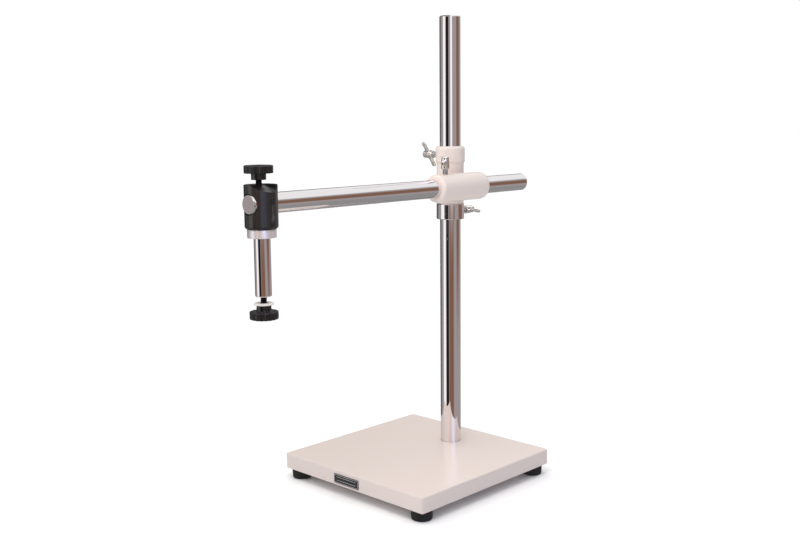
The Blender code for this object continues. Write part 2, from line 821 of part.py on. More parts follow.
def stud(name, bottom, top, y, parts):
    outline = [
        (0, top),
        (SCREW_RADIUS - EDGE_BREAK, top),
        (SCREW_RADIUS, top - EDGE_BREAK),
        (SCREW_RADIUS, bottom + EDGE_BREAK),
        (SCREW_RADIUS - EDGE_BREAK, bottom),
        (0, bottom),
    ]
    return turned(name, outline, parts, "dark_steel", Matrix.Translation((BOOM_X, y, 0)), SCREW_SIDES)


def nylon_washer(parts):
    bottom = SAFETY_WASHER_BOTTOM
    top = bottom + SAFETY_WASHER_THICKNESS
    outline = [
        (SAFETY_WASHER_RADIUS - EDGE_BREAK, top),
        (SAFETY_WASHER_RADIUS, top - EDGE_BREAK),
        (SAFETY_WASHER_RADIUS, bottom + EDGE_BREAK),
        (SAFETY_WASHER_RADIUS - EDGE_BREAK, bottom),
        (SCREW_RADIUS + GAP, bottom),
        (SCREW_RADIUS + GAP, top),
    ]
    return turned(
        "nylon_washer", outline, parts, "white_nylon", under_head(), SMALL_SIDES, closed=True
    )


# ---------------------------------------------------------------- assembly


def joint_empty(name, place, parts, parent=None):
    empty = bpy.data.objects.new(name, None)
    parts.objects.link(empty)
    empty.matrix_world = Matrix.Translation(place)
    bpy.context.view_layer.update()
    if parent:
        parent_keeping_place(empty, parent)
    return empty


def build_base(parts, cutters):
    base = joint_empty("joint_base", (0, 0, 0), parts)
    pieces = [base_plate(parts, cutters), front_label(parts)]
    for name, place in foot_places():
        pieces.append(foot(name, place, parts))
        pieces.append(foot_screw(name, place, parts))
    pieces += [post_bar(parts), post_washer(parts), post_bolt(parts, cutters)]
    return base, pieces


def build_collar(parts, cutters, base):
    lift = joint_empty("joint_collar", (0, POST_Y, COLLAR_BOTTOM), parts, base)
    shaft = pointing(Y_AXIS, Vector((0, POST_Y, COLLAR_SCREW_Z)), COLLAR_WING_TURN)
    tip = POST_RADIUS + 2 * GAP + PAD_THICKNESS
    pieces = [
        safety_collar(parts, cutters, shaft),
        clamp_pad("collar_clamp_pad", shaft, POST_RADIUS + GAP, parts),
        wing_screw("collar_clamp_screw", shaft, COLLAR_HUB_START, tip, parts, cutters),
    ]
    return lift, pieces


def build_crosshead(parts, cutters, lift):
    swivel = joint_empty("joint_crosshead", (0, POST_Y, SLEEVE_BOTTOM), parts, lift)
    post_shaft = pointing(-X_AXIS, Vector((0, POST_Y, POST_SCREW_Z)), POST_WING_TURN)
    boom_shaft = pointing(Z_AXIS, Vector((BOOM_X, BOOM_SCREW_Y, BOOM_Z)), BOOM_WING_TURN)
    reach = 2 * GAP + PAD_THICKNESS
    pieces = [
        crosshead_casting(parts, cutters, post_shaft, boom_shaft),
        clamp_pad("post_clamp_pad", post_shaft, POST_RADIUS + GAP, parts),
        clamp_pad("boom_clamp_pad", boom_shaft, BOOM_RADIUS + GAP, parts),
        wing_screw("post_clamp_screw", post_shaft, POST_HUB_START, POST_RADIUS + reach, parts, cutters),
        wing_screw("boom_clamp_screw", boom_shaft, BOOM_HUB_START, BOOM_RADIUS + reach, parts, cutters),
    ]
    return swivel, pieces


def build_head(parts, cutters, boom):
    tilt = joint_empty("joint_head", (BOOM_X, HEAD_Y, BOOM_Z), parts, boom)
    grub_shaft = pointing(X_AXIS, Vector((BOOM_X, GRUB_Y, BOOM_Z)))
    above_boom = pointing(Z_AXIS, Vector((BOOM_X, TOP_KNOB_Y, BOOM_Z)))
    top_knob_place = Matrix.Translation((BOOM_X, TOP_KNOB_Y, TOP_KNOB_HUB_BOTTOM))
    safety_place = pointing(-Z_AXIS, Vector((BOOM_X, HEAD_Y, SAFETY_KNOB_HUB_TOP)))
    stud_bottom = BOOM_Z + BOOM_RADIUS + 2 * GAP + PAD_THICKNESS
    stud_top = TOP_KNOB_HUB_BOTTOM + KNOB_HOLE_DEPTH - GAP
    safety_low = SAFETY_KNOB_HUB_TOP - KNOB_HOLE_DEPTH + GAP
    pieces = [
        head_block(parts, cutters, grub_shaft),
        head_grub_screw(parts, cutters, grub_shaft),
        clamp_pad("head_clamp_pad", above_boom, BOOM_RADIUS + GAP, parts),
        bearing_ring(parts),
        mounting_pin(parts),
        fluted_knob("top_knob", top_knob_place, parts, cutters),
        stud("top_knob_stud", stud_bottom, stud_top, TOP_KNOB_Y, parts),
        fluted_knob("safety_knob", safety_place, parts, cutters),
        stud("safety_stud", safety_low, PIN_BOTTOM + STUD_IN_PIN, HEAD_Y, parts),
        nylon_washer(parts),
    ]
    return tilt, pieces


def main():
    clear_scene()
    parts = new_collection("boom_stand")
    cutters = new_collection("cutters", hidden=True)

    base, base_pieces = build_base(parts, cutters)
    lift, collar_pieces = build_collar(parts, cutters, base)
    swivel, crosshead_pieces = build_crosshead(parts, cutters, lift)
    slide = joint_empty("joint_boom", (BOOM_X, POST_Y, BOOM_Z), parts, swivel)
    boom_pieces = [boom_bar(parts)]
    tilt, head_pieces = build_head(parts, cutters, slide)

    bpy.context.view_layer.update()
    groups = (
        (base, base_pieces),
        (lift, collar_pieces),
        (swivel, crosshead_pieces),
        (slide, boom_pieces),
        (tilt, head_pieces),
    )
    for parent, pieces in groups:
        for piece in pieces:
            parent_keeping_place(piece, parent)
    for obj in parts.objects:
        if obj.type == "MESH" and obj.data.polygons:
            smooth(obj.data)


main()
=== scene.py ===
"""Boom stand for a stereo microscope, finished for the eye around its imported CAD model.

Each piece is made in the CAD model's own frame, in metres, and rides on a CAD body.
"""

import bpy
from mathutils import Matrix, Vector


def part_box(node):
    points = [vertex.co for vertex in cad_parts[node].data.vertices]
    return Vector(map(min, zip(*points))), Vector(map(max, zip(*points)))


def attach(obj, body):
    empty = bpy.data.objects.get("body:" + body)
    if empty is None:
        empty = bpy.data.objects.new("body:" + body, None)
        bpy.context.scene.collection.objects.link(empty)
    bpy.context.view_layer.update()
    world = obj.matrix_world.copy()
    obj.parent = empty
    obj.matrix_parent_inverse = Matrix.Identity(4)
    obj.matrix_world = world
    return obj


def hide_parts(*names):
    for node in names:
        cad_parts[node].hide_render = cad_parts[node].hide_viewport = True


bl_info = {
    "name": "Microscope boom stand",
    "version": (1, 0, 0),
    "blender": (4, 5, 0),
    "location": "3D View > Sidebar > Boom stand",
    "description": "Makes a boom stand for a stereo microscope, one operator for each piece",
    "category": "Add Mesh",
}

from math import acos, atan2, cos, pi, radians, sin, tan

import bmesh
import bpy
from bpy.props import FloatProperty, FloatVectorProperty, IntProperty, PointerProperty
from mathutils import Matrix, Vector

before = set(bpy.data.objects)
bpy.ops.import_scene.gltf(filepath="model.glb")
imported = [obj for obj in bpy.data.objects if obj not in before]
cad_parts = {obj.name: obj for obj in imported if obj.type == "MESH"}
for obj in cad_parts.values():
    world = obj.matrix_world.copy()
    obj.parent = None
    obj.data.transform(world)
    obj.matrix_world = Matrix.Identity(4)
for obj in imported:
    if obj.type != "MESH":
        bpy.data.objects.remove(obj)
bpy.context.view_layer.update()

MM = 0.001


def span(node, axis):
    """A CAD node's lowest and highest coordinate on one axis, 0 for X, 1 for Y, 2 for Z."""
    low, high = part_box(node)
    return low[axis], high[axis]


def middle(node):
    low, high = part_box(node)
    return (low + high) / 2


def half_width(node, axis=0):
    low, high = span(node, axis)
    return (high - low) / 2


X_AXIS = Vector((1, 0, 0))
Y_AXIS = Vector((0, 1, 0))
Z_AXIS = Vector((0, 0, 1))
GAP = 0.3 * MM

# Where the bars run, from the CAD model
POST_RADIUS = half_width("post_bar")
POST_Y = middle("post_bar").y
BOOM_RADIUS = half_width("boom_bar")
BOOM_X = middle("boom_bar").x
BOOM_Z = middle("boom_bar").z
HEAD_Y = middle("head_block").y
TOP_KNOB_Y = middle("top_knob_stud").y
BASE_SIZE = 2 * half_width("base_plate")
BASE_BOTTOM = span("base_plate", 2)[0]
COLLAR_SCREW_Z = middle("collar_clamp_pad").z
POST_SCREW_Z = middle("post_clamp_pad").z
BOOM_SCREW_Y = middle("boom_clamp_pad").y

# M8 screws with cast wings
SCREW_RADIUS = 4 * MM
WING_HUB_RADIUS = 5.8 * MM
WING_HUB_LENGTH = 17.5 * MM
WING_REACH = 21 * MM
WING_TIP_RADIUS = 3.3 * MM
WING_FLATTEN = 0.7
PAD_THICKNESS = 2 * MM
POST_HUB_START = 32.5 * MM
COLLAR_HUB_START = 32.0 * MM
BOOM_HUB_START = 26.4 * MM
POST_WING_TURN = radians(55)
COLLAR_WING_TURN = radians(5)
BOOM_WING_TURN = radians(-60)

# The base, its feet and the fixing under the post
BASE_CORNER = 4 * MM
BASE_EDGE = 1.5 * MM
SOCKET_MOUTH = 5 * MM
POCKET_RADIUS = 13 * MM
BOLT_HOLE_RADIUS = 6.3 * MM
BOLT_HOLE_DEPTH = 30 * MM
FOOT_TAPER = 0.6 * MM
FOOT_EDGE = 2.4 * MM
FOOT_RECESS_RADIUS = 5.6 * MM
FOOT_RECESS_DEPTH = 6 * MM
FOOT_HOLE_RADIUS = 2.8 * MM
FOOT_SCREW_RADIUS = 2.5 * MM
FOOT_SCREW_HEAD_RADIUS = 4.6 * MM
FOOT_SCREW_HEAD_HEIGHT = 3.4 * MM
BAR_CHAMFER = 1.5 * MM

# The crosshead's two sleeves
SLEEVE_RADIUS = 19.5 * MM
BAND_HEIGHT = 23 * MM
CASTING_VOXEL = 0.7 * MM
WING_VOXEL = 0.34 * MM

# The head block's sloping relief
RELIEF_SLOPE = radians(24)
RELIEF_TURN = radians(11)
RELIEF_BACK = 9 * MM
RELIEF_FILLET = 8 * MM

# Knobs
KNOB_RIM_HEIGHT = 9.4 * MM
KNOB_HUB_HEIGHT = 7.6 * MM
KNOB_HUB_RADIUS = 9 * MM
KNOB_HOLE_DEPTH = 12 * MM

# How finely round things are made
BAR_SIDES = 128
SMALL_SIDES = 64
ARC_STEPS = 5
SUPPORT = 0.25 * MM
SHARP_ANGLE = radians(32)


# ------------------------------------------------------------------ what a user can change


def hex_colour(code, alpha=1.0):
    """An sRGB hex colour as linear red, green, blue and alpha."""
    channels = [int(code[i : i + 2], 16) / 255 for i in (0, 2, 4)]
    linear = [c / 12.92 if c <= 0.04045 else ((c + 0.055) / 1.055) ** 2.4 for c in channels]
    return (*linear, alpha)


def colour_property(name, description, code):
    return FloatVectorProperty(
        name=name,
        description=description,
        subtype="COLOR",
        size=4,
        min=0.0,
        max=1.0,
        default=hex_colour(code),
    )


def length_property(name, description, default):
    return FloatProperty(
        name=name, description=description, subtype="DISTANCE", unit="LENGTH", default=default, min=0.0
    )


class StandFinish(bpy.types.PropertyGroup):
    """The colours and the gloss of the stand's finishes."""

    enamel: colour_property("Enamel", "Colour of the stove enamel on the base and the crosshead", "E3D6CE")
    block: colour_property("Head block", "Colour of the anodised head block", "090707")
    label: colour_property("Label", "Ground colour of the plain label", "060607")
    enamel_roughness: FloatProperty(
        name="Enamel roughness", description="Roughness of the enamel", default=0.34, min=0.0, max=1.0
    )
    chrome_roughness: FloatProperty(
        name="Chrome roughness", description="Roughness of the hard chrome", default=0.04, min=0.0, max=1.0
    )


class StandDetail(bpy.types.PropertyGroup):
    """The sizes of the small shapes that repeat."""

    knob_flutes: IntProperty(name="Knob flutes", description="Flutes round each knob", default=18, min=6)
    flute_radius: length_property("Flute radius", "Radius of each flute's hollow", 1.8 * MM)
    flute_depth: length_property("Flute depth", "How deep each flute is cut", 0.9 * MM)
    thread_pitch: length_property("Thread pitch", "Pitch of the M8 threads", 1.25 * MM)
    foot_spacing: length_property(
        "Foot spacing",
        "Distance between the centres of the feet",
        middle("foot_front_right").x - middle("foot_front_left").x,
    )


# ------------------------------------------------------------------ outlines and turned shapes


def rounded(corners, closed=False):
    """Points (radius, height) of an outline whose corners are (radius, height, fillet radius)."""
    points = []
    count = len(corners)
    for index, (x, z, fillet) in enumerate(corners):
        here = Vector((x, z))
        at_end = not closed and index in (0, count - 1)
        if fillet == 0 or at_end:
            points.append(here)
            continue
        before = Vector(corners[index - 1][:2]) - here
        after = Vector(corners[(index + 1) % count][:2]) - here
        half_angle = acos(max(-1.0, min(1.0, before.normalized().dot(after.normalized())))) / 2
        reach = min(fillet / tan(half_angle), 0.48 * before.length, 0.48 * after.length)
        radius = reach * tan(half_angle)
        bisector = (before.normalized() + after.normalized()).normalized()
        centre = here + bisector * (radius / sin(half_angle))
        start = here + before.normalized() * reach - centre
        end = here + after.normalized() * reach - centre
        first = atan2(start.y, start.x)
        sweep = (atan2(end.y, end.x) - first + pi) % (2 * pi) - pi
        for step in range(ARC_STEPS + 1):
            angle = first + sweep * step / ARC_STEPS
            points.append(centre + Vector((cos(angle), sin(angle))) * radius)
    return supported(points, closed)


def supported(points, closed=False):
    """The same outline with a point near both ends of each long stretch, to keep shading flat."""
    result = []
    pairs = list(zip(points, points[1:])) + ([(points[-1], points[0])] if closed else [])
    for start, end in pairs:
        result.append(start)
        length = (end - start).length
        if length > 4 * SUPPORT:
            step = (end - start).normalized() * SUPPORT
            result += [start + step, end - step]
    if not closed:
        result.append(points[-1])
    return result


def lathe(points, sides=SMALL_SIDES, closed=False):
    """A closed mesh turned about local Z, with a single point wherever the outline meets the axis."""
    shape = bmesh.new()
    rings = []
    for point in points:
        if abs(point.x) < 1e-7:
            rings.append([shape.verts.new((0, 0, point.y))])
            continue
        around = [2 * pi * i / sides for i in range(sides)]
        rings.append([shape.verts.new((point.x * cos(a), point.x * sin(a), point.y)) for a in around])
    for lower, upper in zip(rings, rings[1:] + ([rings[0]] if closed else [])):
        if len(lower) == 1 and len(upper) == 1:
            continue
        for i in range(sides):
            j = (i + 1) % sides
            corners = [lower[i % len(lower)], lower[j % len(lower)]]
            corners += [upper[j % len(upper)], upper[i % len(upper)]]
            shape.faces.new(list(dict.fromkeys(corners)))
    return mesh_from(shape, "turned")


def mesh_from(shape, name):
    """A plain mesh with its faces pointing outwards; frees the bmesh."""
    bmesh.ops.recalc_face_normals(shape, faces=shape.faces)
    mesh = bpy.data.meshes.new(name)
    shape.to_mesh(mesh)
    shape.free()
    return mesh


def turned(corners, matrix=Matrix(), sides=SMALL_SIDES, closed=False):
    """A turned piece from its outline's corners, put in place."""
    mesh = lathe(rounded(corners, closed), sides, closed)
    mesh.transform(matrix)
    return mesh


def prism(radius, low, high, sides):
    """A straight prism with sharp edges, standing on the axis."""
    return lathe([Vector((0, low)), Vector((radius, low)), Vector((radius, high)), Vector((0, high))], sides)


def block_mesh(size, matrix=Matrix()):
    shape = bmesh.new()
    bmesh.ops.create_cube(shape, size=1.0, matrix=matrix @ Matrix.Diagonal((*size, 1.0)))
    return mesh_from(shape, "block")


def pointing(direction, origin, turn=0.0):
    """A matrix that puts local +Z along direction at origin, turned about it."""
    rotation = direction.to_track_quat("Z", "Y").to_matrix().to_4x4()
    return Matrix.Translation(origin) @ rotation @ Matrix.Rotation(turn, 4, "Z")


# ------------------------------------------------------------------ modifiers and trees, made plain


def workpiece(mesh):
    obj = bpy.data.objects.new("workpiece", mesh)
    bpy.context.scene.collection.objects.link(obj)
    return obj


def baked(obj, helpers=()):
    """The plain mesh that the object's modifiers make; the object and its helpers are removed."""
    bpy.context.view_layer.update()
    graph = bpy.context.evaluated_depsgraph_get()
    mesh = bpy.data.meshes.new_from_object(
        obj.evaluated_get(graph), preserve_all_data_layers=True, depsgraph=graph
    )
    for used in (obj, *helpers):
        bpy.data.objects.remove(used, do_unlink=True)
    return mesh


def cut(mesh, *cutters):
    """The mesh with each cutter's shape taken out; the cut faces take the cutter's material."""
    obj = workpiece(mesh)
    helpers = [workpiece(cutter) for cutter in cutters]
    for helper in helpers:
        modifier = obj.modifiers.new("cut", "BOOLEAN")
        modifier.operation = "DIFFERENCE"
        modifier.solver = "EXACT"
        modifier.material_mode = "TRANSFER"
        modifier.object = helper
    return baked(obj, helpers)


def together(*meshes):
    """Several meshes as one, each keeping its materials."""
    shape = bmesh.new()
    materials = []
    for mesh in meshes:
        before = len(shape.faces)
        shape.from_mesh(mesh)
        shape.faces.ensure_lookup_table()
        slots = list(mesh.materials) or [None]
        for face in shape.faces[before:]:
            material = slots[min(face.material_index, len(slots) - 1)]
            if material not in materials:
                materials.append(material)
            face.material_index = materials.index(material)
    joined = bpy.data.meshes.new("joined")
    shape.to_mesh(joined)
    shape.free()
    for material in materials:
        joined.materials.append(material)
    return joined


def cast_together(meshes, voxel, smoothing):
    """Overlapping shapes run into one skin with soft inside corners, as in a casting."""
    obj = workpiece(together(*meshes))
    remesh = obj.modifiers.new("skin", "REMESH")
    remesh.mode = "VOXEL"
    remesh.voxel_size = voxel
    remesh.use_smooth_shade = True
    soften = obj.modifiers.new("soften", "SMOOTH")
    soften.factor = 0.5
    soften.iterations = smoothing
    return baked(obj)


def add_node(tree, kind, inputs=None, **settings):
    """Adds a node with its settings; inputs maps a socket to a value or to the output that feeds it."""
    node = tree.nodes.new(kind)
    for name, value in settings.items():
        setattr(node, name, value)
    for key, value in (inputs or {}).items():
        if isinstance(value, bpy.types.NodeSocket):
            tree.links.new(value, node.inputs[key])
        else:
            node.inputs[key].default_value = value
    return node


def new_geometry_tree(name, sockets):
    """A geometry tree with its own inputs after Geometry; gives the tree and its input node."""
    tree = bpy.data.node_groups.new(name, "GeometryNodeTree")
    tree.is_modifier = True
    tree.interface.new_socket("Geometry", in_out="INPUT", socket_type="NodeSocketGeometry")
    for label, kind in sockets.items():
        tree.interface.new_socket(label, in_out="INPUT", socket_type=kind)
    tree.interface.new_socket("Geometry", in_out="OUTPUT", socket_type="NodeSocketGeometry")
    return tree, tree.nodes.new("NodeGroupInput")


def end_tree(tree, geometry, finish):
    """Every tree ends the same way: real geometry with its material set."""
    real = add_node(tree, "GeometryNodeRealizeInstances", {"Geometry": geometry})
    coated = add_node(tree, "GeometryNodeSetMaterial", {"Geometry": real.outputs[0], "Material": finish})
    add_node(tree, "NodeGroupOutput", {"Geometry": coated.outputs[0]})


def run_tree(tree, mesh, values):
    """The plain mesh that the tree makes, with its inputs set by name through their identifiers."""
    obj = workpiece(mesh)
    modifier = obj.modifiers.new(tree.name, "NODES")
    modifier.node_group = tree
    for item in tree.interface.items_tree:
        if item.in_out == "INPUT" and item.name in values:
            modifier[item.identifier] = values[item.name]
    return baked(obj)


def finish_piece(name, mesh, body, nodes, material=None):
    """Makes the mesh a piece that rides on a body and stands for its CAD nodes."""
    if material:
        mesh.materials.clear()
        mesh.materials.append(material)
    mesh.shade_smooth()
    mesh.set_sharp_from_angle(angle=SHARP_ANGLE)
    mesh.name = name
    obj = bpy.data.objects.new(name, mesh)
    bpy.context.scene.collection.objects.link(obj)
    if not mesh.polygons:
        raise RuntimeError(f"{name} has no faces")
    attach(obj, body)
    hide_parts(*nodes)
    for node in nodes:
        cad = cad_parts[node]
        cad.data.materials.clear()
        cad.data.materials.append(mesh.materials[0])
    return obj


# ------------------------------------------------------------------ finishes


def new_material(name):
    material = bpy.data.materials.new(name)
    material.use_nodes = True
    tree = material.node_tree
    return material, tree, tree.nodes["Principled BSDF"]


def set_shader(shader, **values):
    """Constants on the shader's own sockets; an underscore stands for a space."""
    for name, value in values.items():
        shader.inputs[name.replace("_", " ")].default_value = value


def made_once(make):
    """Gives the same material each time its maker is called."""
    made = {}

    def maker(*args):
        key = (make.__name__, *args)
        if key not in made:
            made[key] = make(*args)
        return made[key]

    return maker


@made_once
def cream_stove_enamel():
    """Stove enamel sprayed on steel and iron: semi-gloss, with a faint orange peel a few
    millimetres across and a slightly uneven warm cream."""
    material, tree, shader = new_material("cream_stove_enamel")
    finish = bpy.context.scene.stand_finish
    set_shader(shader, IOR=1.5, Coat_Weight=0.18, Coat_Roughness=0.16)
    place = add_node(tree, "ShaderNodeTexCoord")
    cloud = add_node(
        tree, "ShaderNodeTexNoise", {"Vector": place.outputs["Object"], "Scale": 1 / (70 * MM), "Detail": 3.0}
    )
    warm = add_node(
        tree,
        "ShaderNodeHueSaturation",
        {"Hue": 0.503, "Saturation": 1.08, "Value": 0.985, "Color": finish.enamel},
    )
    mixed = add_node(
        tree,
        "ShaderNodeMix",
        {0: cloud.outputs["Fac"], 6: finish.enamel, 7: warm.outputs["Color"]},
        data_type="RGBA",
    )
    tree.links.new(mixed.outputs[2], shader.inputs["Base Color"])
    peel = add_node(
        tree,
        "ShaderNodeTexNoise",
        {"Vector": place.outputs["Object"], "Scale": 1 / (2.2 * MM), "Detail": 1.0},
    )
    gloss = add_node(
        tree,
        "ShaderNodeMapRange",
        {
            "Value": cloud.outputs["Fac"],
            "To Min": finish.enamel_roughness - 0.03,
            "To Max": finish.enamel_roughness + 0.03,
        },
    )
    tree.links.new(gloss.outputs["Result"], shader.inputs["Roughness"])
    bump = add_node(
        tree,
        "ShaderNodeBump",
        {"Height": peel.outputs["Fac"], "Strength": 0.25, "Distance": 0.02 * MM},
    )
    tree.links.new(bump.outputs["Normal"], shader.inputs["Normal"])
    return material


def lined_bump(tree, axis, spacing, strength, distance):
    """Fine rings round one axis, as grinding and turning leave them: noise stretched round it."""
    place = add_node(tree, "ShaderNodeTexCoord")
    scale = [0.0, 0.0, 0.0]
    scale["XYZ".index(axis)] = 1 / spacing
    along = add_node(
        tree, "ShaderNodeMapping", {"Vector": place.outputs["Object"], "Scale": scale}, vector_type="POINT"
    )
    rings = add_node(
        tree, "ShaderNodeTexNoise", {"Vector": along.outputs["Vector"], "Scale": 1.0, "Detail": 2.0}
    )
    bump = add_node(
        tree,
        "ShaderNodeBump",
        {"Height": rings.outputs["Fac"], "Strength": strength, "Distance": distance},
    )
    return rings, bump


def spread_along_axis(tree, shader):
    """Turning marks run round the work, so they spread its highlights along local Z."""
    round_axis = add_node(tree, "ShaderNodeTangent", direction_type="RADIAL", axis="Z")
    tree.links.new(round_axis.outputs["Tangent"], shader.inputs["Tangent"])
    set_shader(shader, Anisotropic=0.9, Anisotropic_Rotation=0.25)


@made_once
def hard_chrome(axis):
    """Hard chrome on ground steel bar: a near mirror, with grinding rings too fine to see
    singly (drawn 0.6 mm apart) that only soften the ends of the reflections."""
    material, tree, shader = new_material(f"hard_chrome_on_ground_bar_{axis.lower()}")
    set_shader(
        shader,
        Base_Color=hex_colour("E2DFE0"),
        Metallic=1.0,
    )
    roughness = bpy.context.scene.stand_finish.chrome_roughness
    rings, bump = lined_bump(tree, axis, 0.6 * MM, 0.04, 0.01 * MM)
    spread = add_node(
        tree,
        "ShaderNodeMapRange",
        {"Value": rings.outputs["Fac"], "To Min": 0.7 * roughness, "To Max": 1.3 * roughness},
    )
    tree.links.new(spread.outputs["Result"], shader.inputs["Roughness"])
    tree.links.new(bump.outputs["Normal"], shader.inputs["Normal"])
    return material


@made_once
def nickel_plated_casting():
    """Bright nickel on zinc die castings: shiny, with the slight waviness of the cast skin."""
    material, tree, shader = new_material("nickel_plated_die_casting")
    set_shader(shader, Base_Color=hex_colour("EFECE8"), Metallic=1.0)
    place = add_node(tree, "ShaderNodeTexCoord")
    skin = add_node(
        tree,
        "ShaderNodeTexNoise",
        {"Vector": place.outputs["Object"], "Scale": 1 / (1.6 * MM), "Detail": 2.0},
    )
    gloss = add_node(
        tree, "ShaderNodeMapRange", {"Value": skin.outputs["Fac"], "To Min": 0.12, "To Max": 0.26}
    )
    tree.links.new(gloss.outputs["Result"], shader.inputs["Roughness"])
    bump = add_node(
        tree, "ShaderNodeBump", {"Height": skin.outputs["Fac"], "Strength": 0.3, "Distance": 0.05 * MM}
    )
    tree.links.new(bump.outputs["Normal"], shader.inputs["Normal"])
    return material


def mottled_metal(name, light, dark, grain, roughness):
    """A metal whose colour and gloss wander between two values over a grain size."""
    material, tree, shader = new_material(name)
    set_shader(shader, Metallic=1.0)
    place = add_node(tree, "ShaderNodeTexCoord")
    mottle = add_node(
        tree, "ShaderNodeTexNoise", {"Vector": place.outputs["Object"], "Scale": 1 / grain, "Detail": 3.0}
    )
    colour = add_node(
        tree,
        "ShaderNodeMix",
        {0: mottle.outputs["Fac"], 6: hex_colour(dark), 7: hex_colour(light)},
        data_type="RGBA",
    )
    tree.links.new(colour.outputs[2], shader.inputs["Base Color"])
    gloss = add_node(
        tree,
        "ShaderNodeMapRange",
        {"Value": mottle.outputs["Fac"], "To Min": roughness - 0.06, "To Max": roughness + 0.06},
    )
    tree.links.new(gloss.outputs["Result"], shader.inputs["Roughness"])
    return material


@made_once
def blackened_steel():
    """Steel blackened in hot oxide: dark, oily, dull where the oxide is thick."""
    return mottled_metal("black_oxide_steel", "4A474A", "2B292B", 1.5 * MM, 0.38)


@made_once
def zinc_plated_steel():
    """Bright zinc plate on turned and rolled steel: pale and slightly blue."""
    return mottled_metal("bright_zinc_plate", "D2D3D4", "B4B6B9", 2.5 * MM, 0.28)


@made_once
def turned_brass():
    """Brass turned to size and left bare: warm yellow, slightly dulled."""
    return mottled_metal("turned_brass", "D8B56A", "B8924A", 1.2 * MM, 0.3)


@made_once
def machined_iron():
    """Cast iron bored to size and left bare inside the enamel: grey and finely ringed."""
    return mottled_metal("bored_cast_iron", "8E8A86", "6F6B68", 1.0 * MM, 0.4)


@made_once
def black_anodised_aluminium():
    """Turned aluminium, dyed black in the anodising: a satin skin in which soft lights show
    as broad brown and blue streaks along the block."""
    material, tree, shader = new_material("black_anodised_aluminium")
    finish = bpy.context.scene.stand_finish
    set_shader(shader, Base_Color=finish.block, IOR=1.7)
    spread_along_axis(tree, shader)
    rings, bump = lined_bump(tree, "Z", 0.5 * MM, 0.06, 0.01 * MM)
    gloss = add_node(
        tree, "ShaderNodeMapRange", {"Value": rings.outputs["Fac"], "To Min": 0.27, "To Max": 0.34}
    )
    tree.links.new(gloss.outputs["Result"], shader.inputs["Roughness"])
    tree.links.new(bump.outputs["Normal"], shader.inputs["Normal"])
    return material


@made_once
def turned_aluminium():
    """Fine turned aluminium, clear anodised: pale satin with rings 0.4 mm apart."""
    material, tree, shader = new_material("fine_turned_aluminium")
    set_shader(shader, Base_Color=hex_colour("F4F0F0"), Metallic=0.78)
    spread_along_axis(tree, shader)
    rings, bump = lined_bump(tree, "Z", 0.4 * MM, 0.1, 0.02 * MM)
    gloss = add_node(
        tree, "ShaderNodeMapRange", {"Value": rings.outputs["Fac"], "To Min": 0.36, "To Max": 0.44}
    )
    tree.links.new(gloss.outputs["Result"], shader.inputs["Roughness"])
    tree.links.new(bump.outputs["Normal"], shader.inputs["Normal"])
    return material


def moulded(name, light, dark, grain, roughness, relief):
    """A moulded plastic or rubber: its colour and a fine grain of one real size."""
    material, tree, shader = new_material(name)
    place = add_node(tree, "ShaderNodeTexCoord")
    skin = add_node(
        tree, "ShaderNodeTexNoise", {"Vector": place.outputs["Object"], "Scale": 1 / grain, "Detail": 2.0}
    )
    colour = add_node(
        tree,
        "ShaderNodeMix",
        {0: skin.outputs["Fac"], 6: hex_colour(dark), 7: hex_colour(light)},
        data_type="RGBA",
    )
    tree.links.new(colour.outputs[2], shader.inputs["Base Color"])
    gloss = add_node(
        tree,
        "ShaderNodeMapRange",
        {"Value": skin.outputs["Fac"], "To Min": roughness - 0.05, "To Max": roughness + 0.05},
    )
    tree.links.new(gloss.outputs["Result"], shader.inputs["Roughness"])
    bump = add_node(
        tree, "ShaderNodeBump", {"Height": skin.outputs["Fac"], "Strength": 0.3, "Distance": relief}
    )
    tree.links.new(bump.outputs["Normal"], shader.inputs["Normal"])
    return material, shader


@made_once
def black_phenolic():
    """Phenolic moulded in a polished tool: near-black, fairly shiny."""
    material, shader = moulded("moulded_black_phenolic", "100E10", "080708", 0.9 * MM, 0.27, 0.004 * MM)
    set_shader(shader, IOR=1.6)
    return material


@made_once
def black_rubber():
    """Moulded rubber: matt black with a fine dusty grain."""
    material, shader = moulded("moulded_black_rubber", "121212", "0A0A0A", 0.7 * MM, 0.6, 0.03 * MM)
    set_shader(shader, IOR=1.52)
    return material


@made_once
def white_nylon():
    """Turned nylon: milky white and soft in its gloss."""
    material, shader = moulded("turned_white_nylon", "F1EBE4", "E4DCD4", 0.8 * MM, 0.42, 0.01 * MM)
    set_shader(shader, IOR=1.53)
    return material


@made_once
def label_ground():
    """Black printed foil under a clear film: even and semi-gloss."""
    material, tree, shader = new_material("black_printed_foil")
    finish = bpy.context.scene.stand_finish
    set_shader(shader, Base_Color=finish.label, IOR=1.5, Coat_Weight=0.3, Coat_Roughness=0.1)
    place = add_node(tree, "ShaderNodeTexCoord")
    film = add_node(
        tree, "ShaderNodeTexNoise", {"Vector": place.outputs["Object"], "Scale": 1 / (3 * MM), "Detail": 2.0}
    )
    gloss = add_node(
        tree, "ShaderNodeMapRange", {"Value": film.outputs["Fac"], "To Min": 0.28, "To Max": 0.38}
    )
    tree.links.new(gloss.outputs["Result"], shader.inputs["Roughness"])
    return material


@made_once
def label_print():
    """White screen print on the foil, as a thin frame and ruled lines: even and satin."""
    material, shader = moulded("white_screen_print", "F2F0EE", "E2E0DE", 0.8 * MM, 0.4, 0.002 * MM)
    set_shader(shader, IOR=1.5)
    return material


# ------------------------------------------------------------------ geometry trees


def maths(tree, operation, first, second=0.0, third=0.0):
    """The result socket of one sum."""
    return add_node(tree, "ShaderNodeMath", {0: first, 1: second, 2: third}, operation=operation).outputs[0]


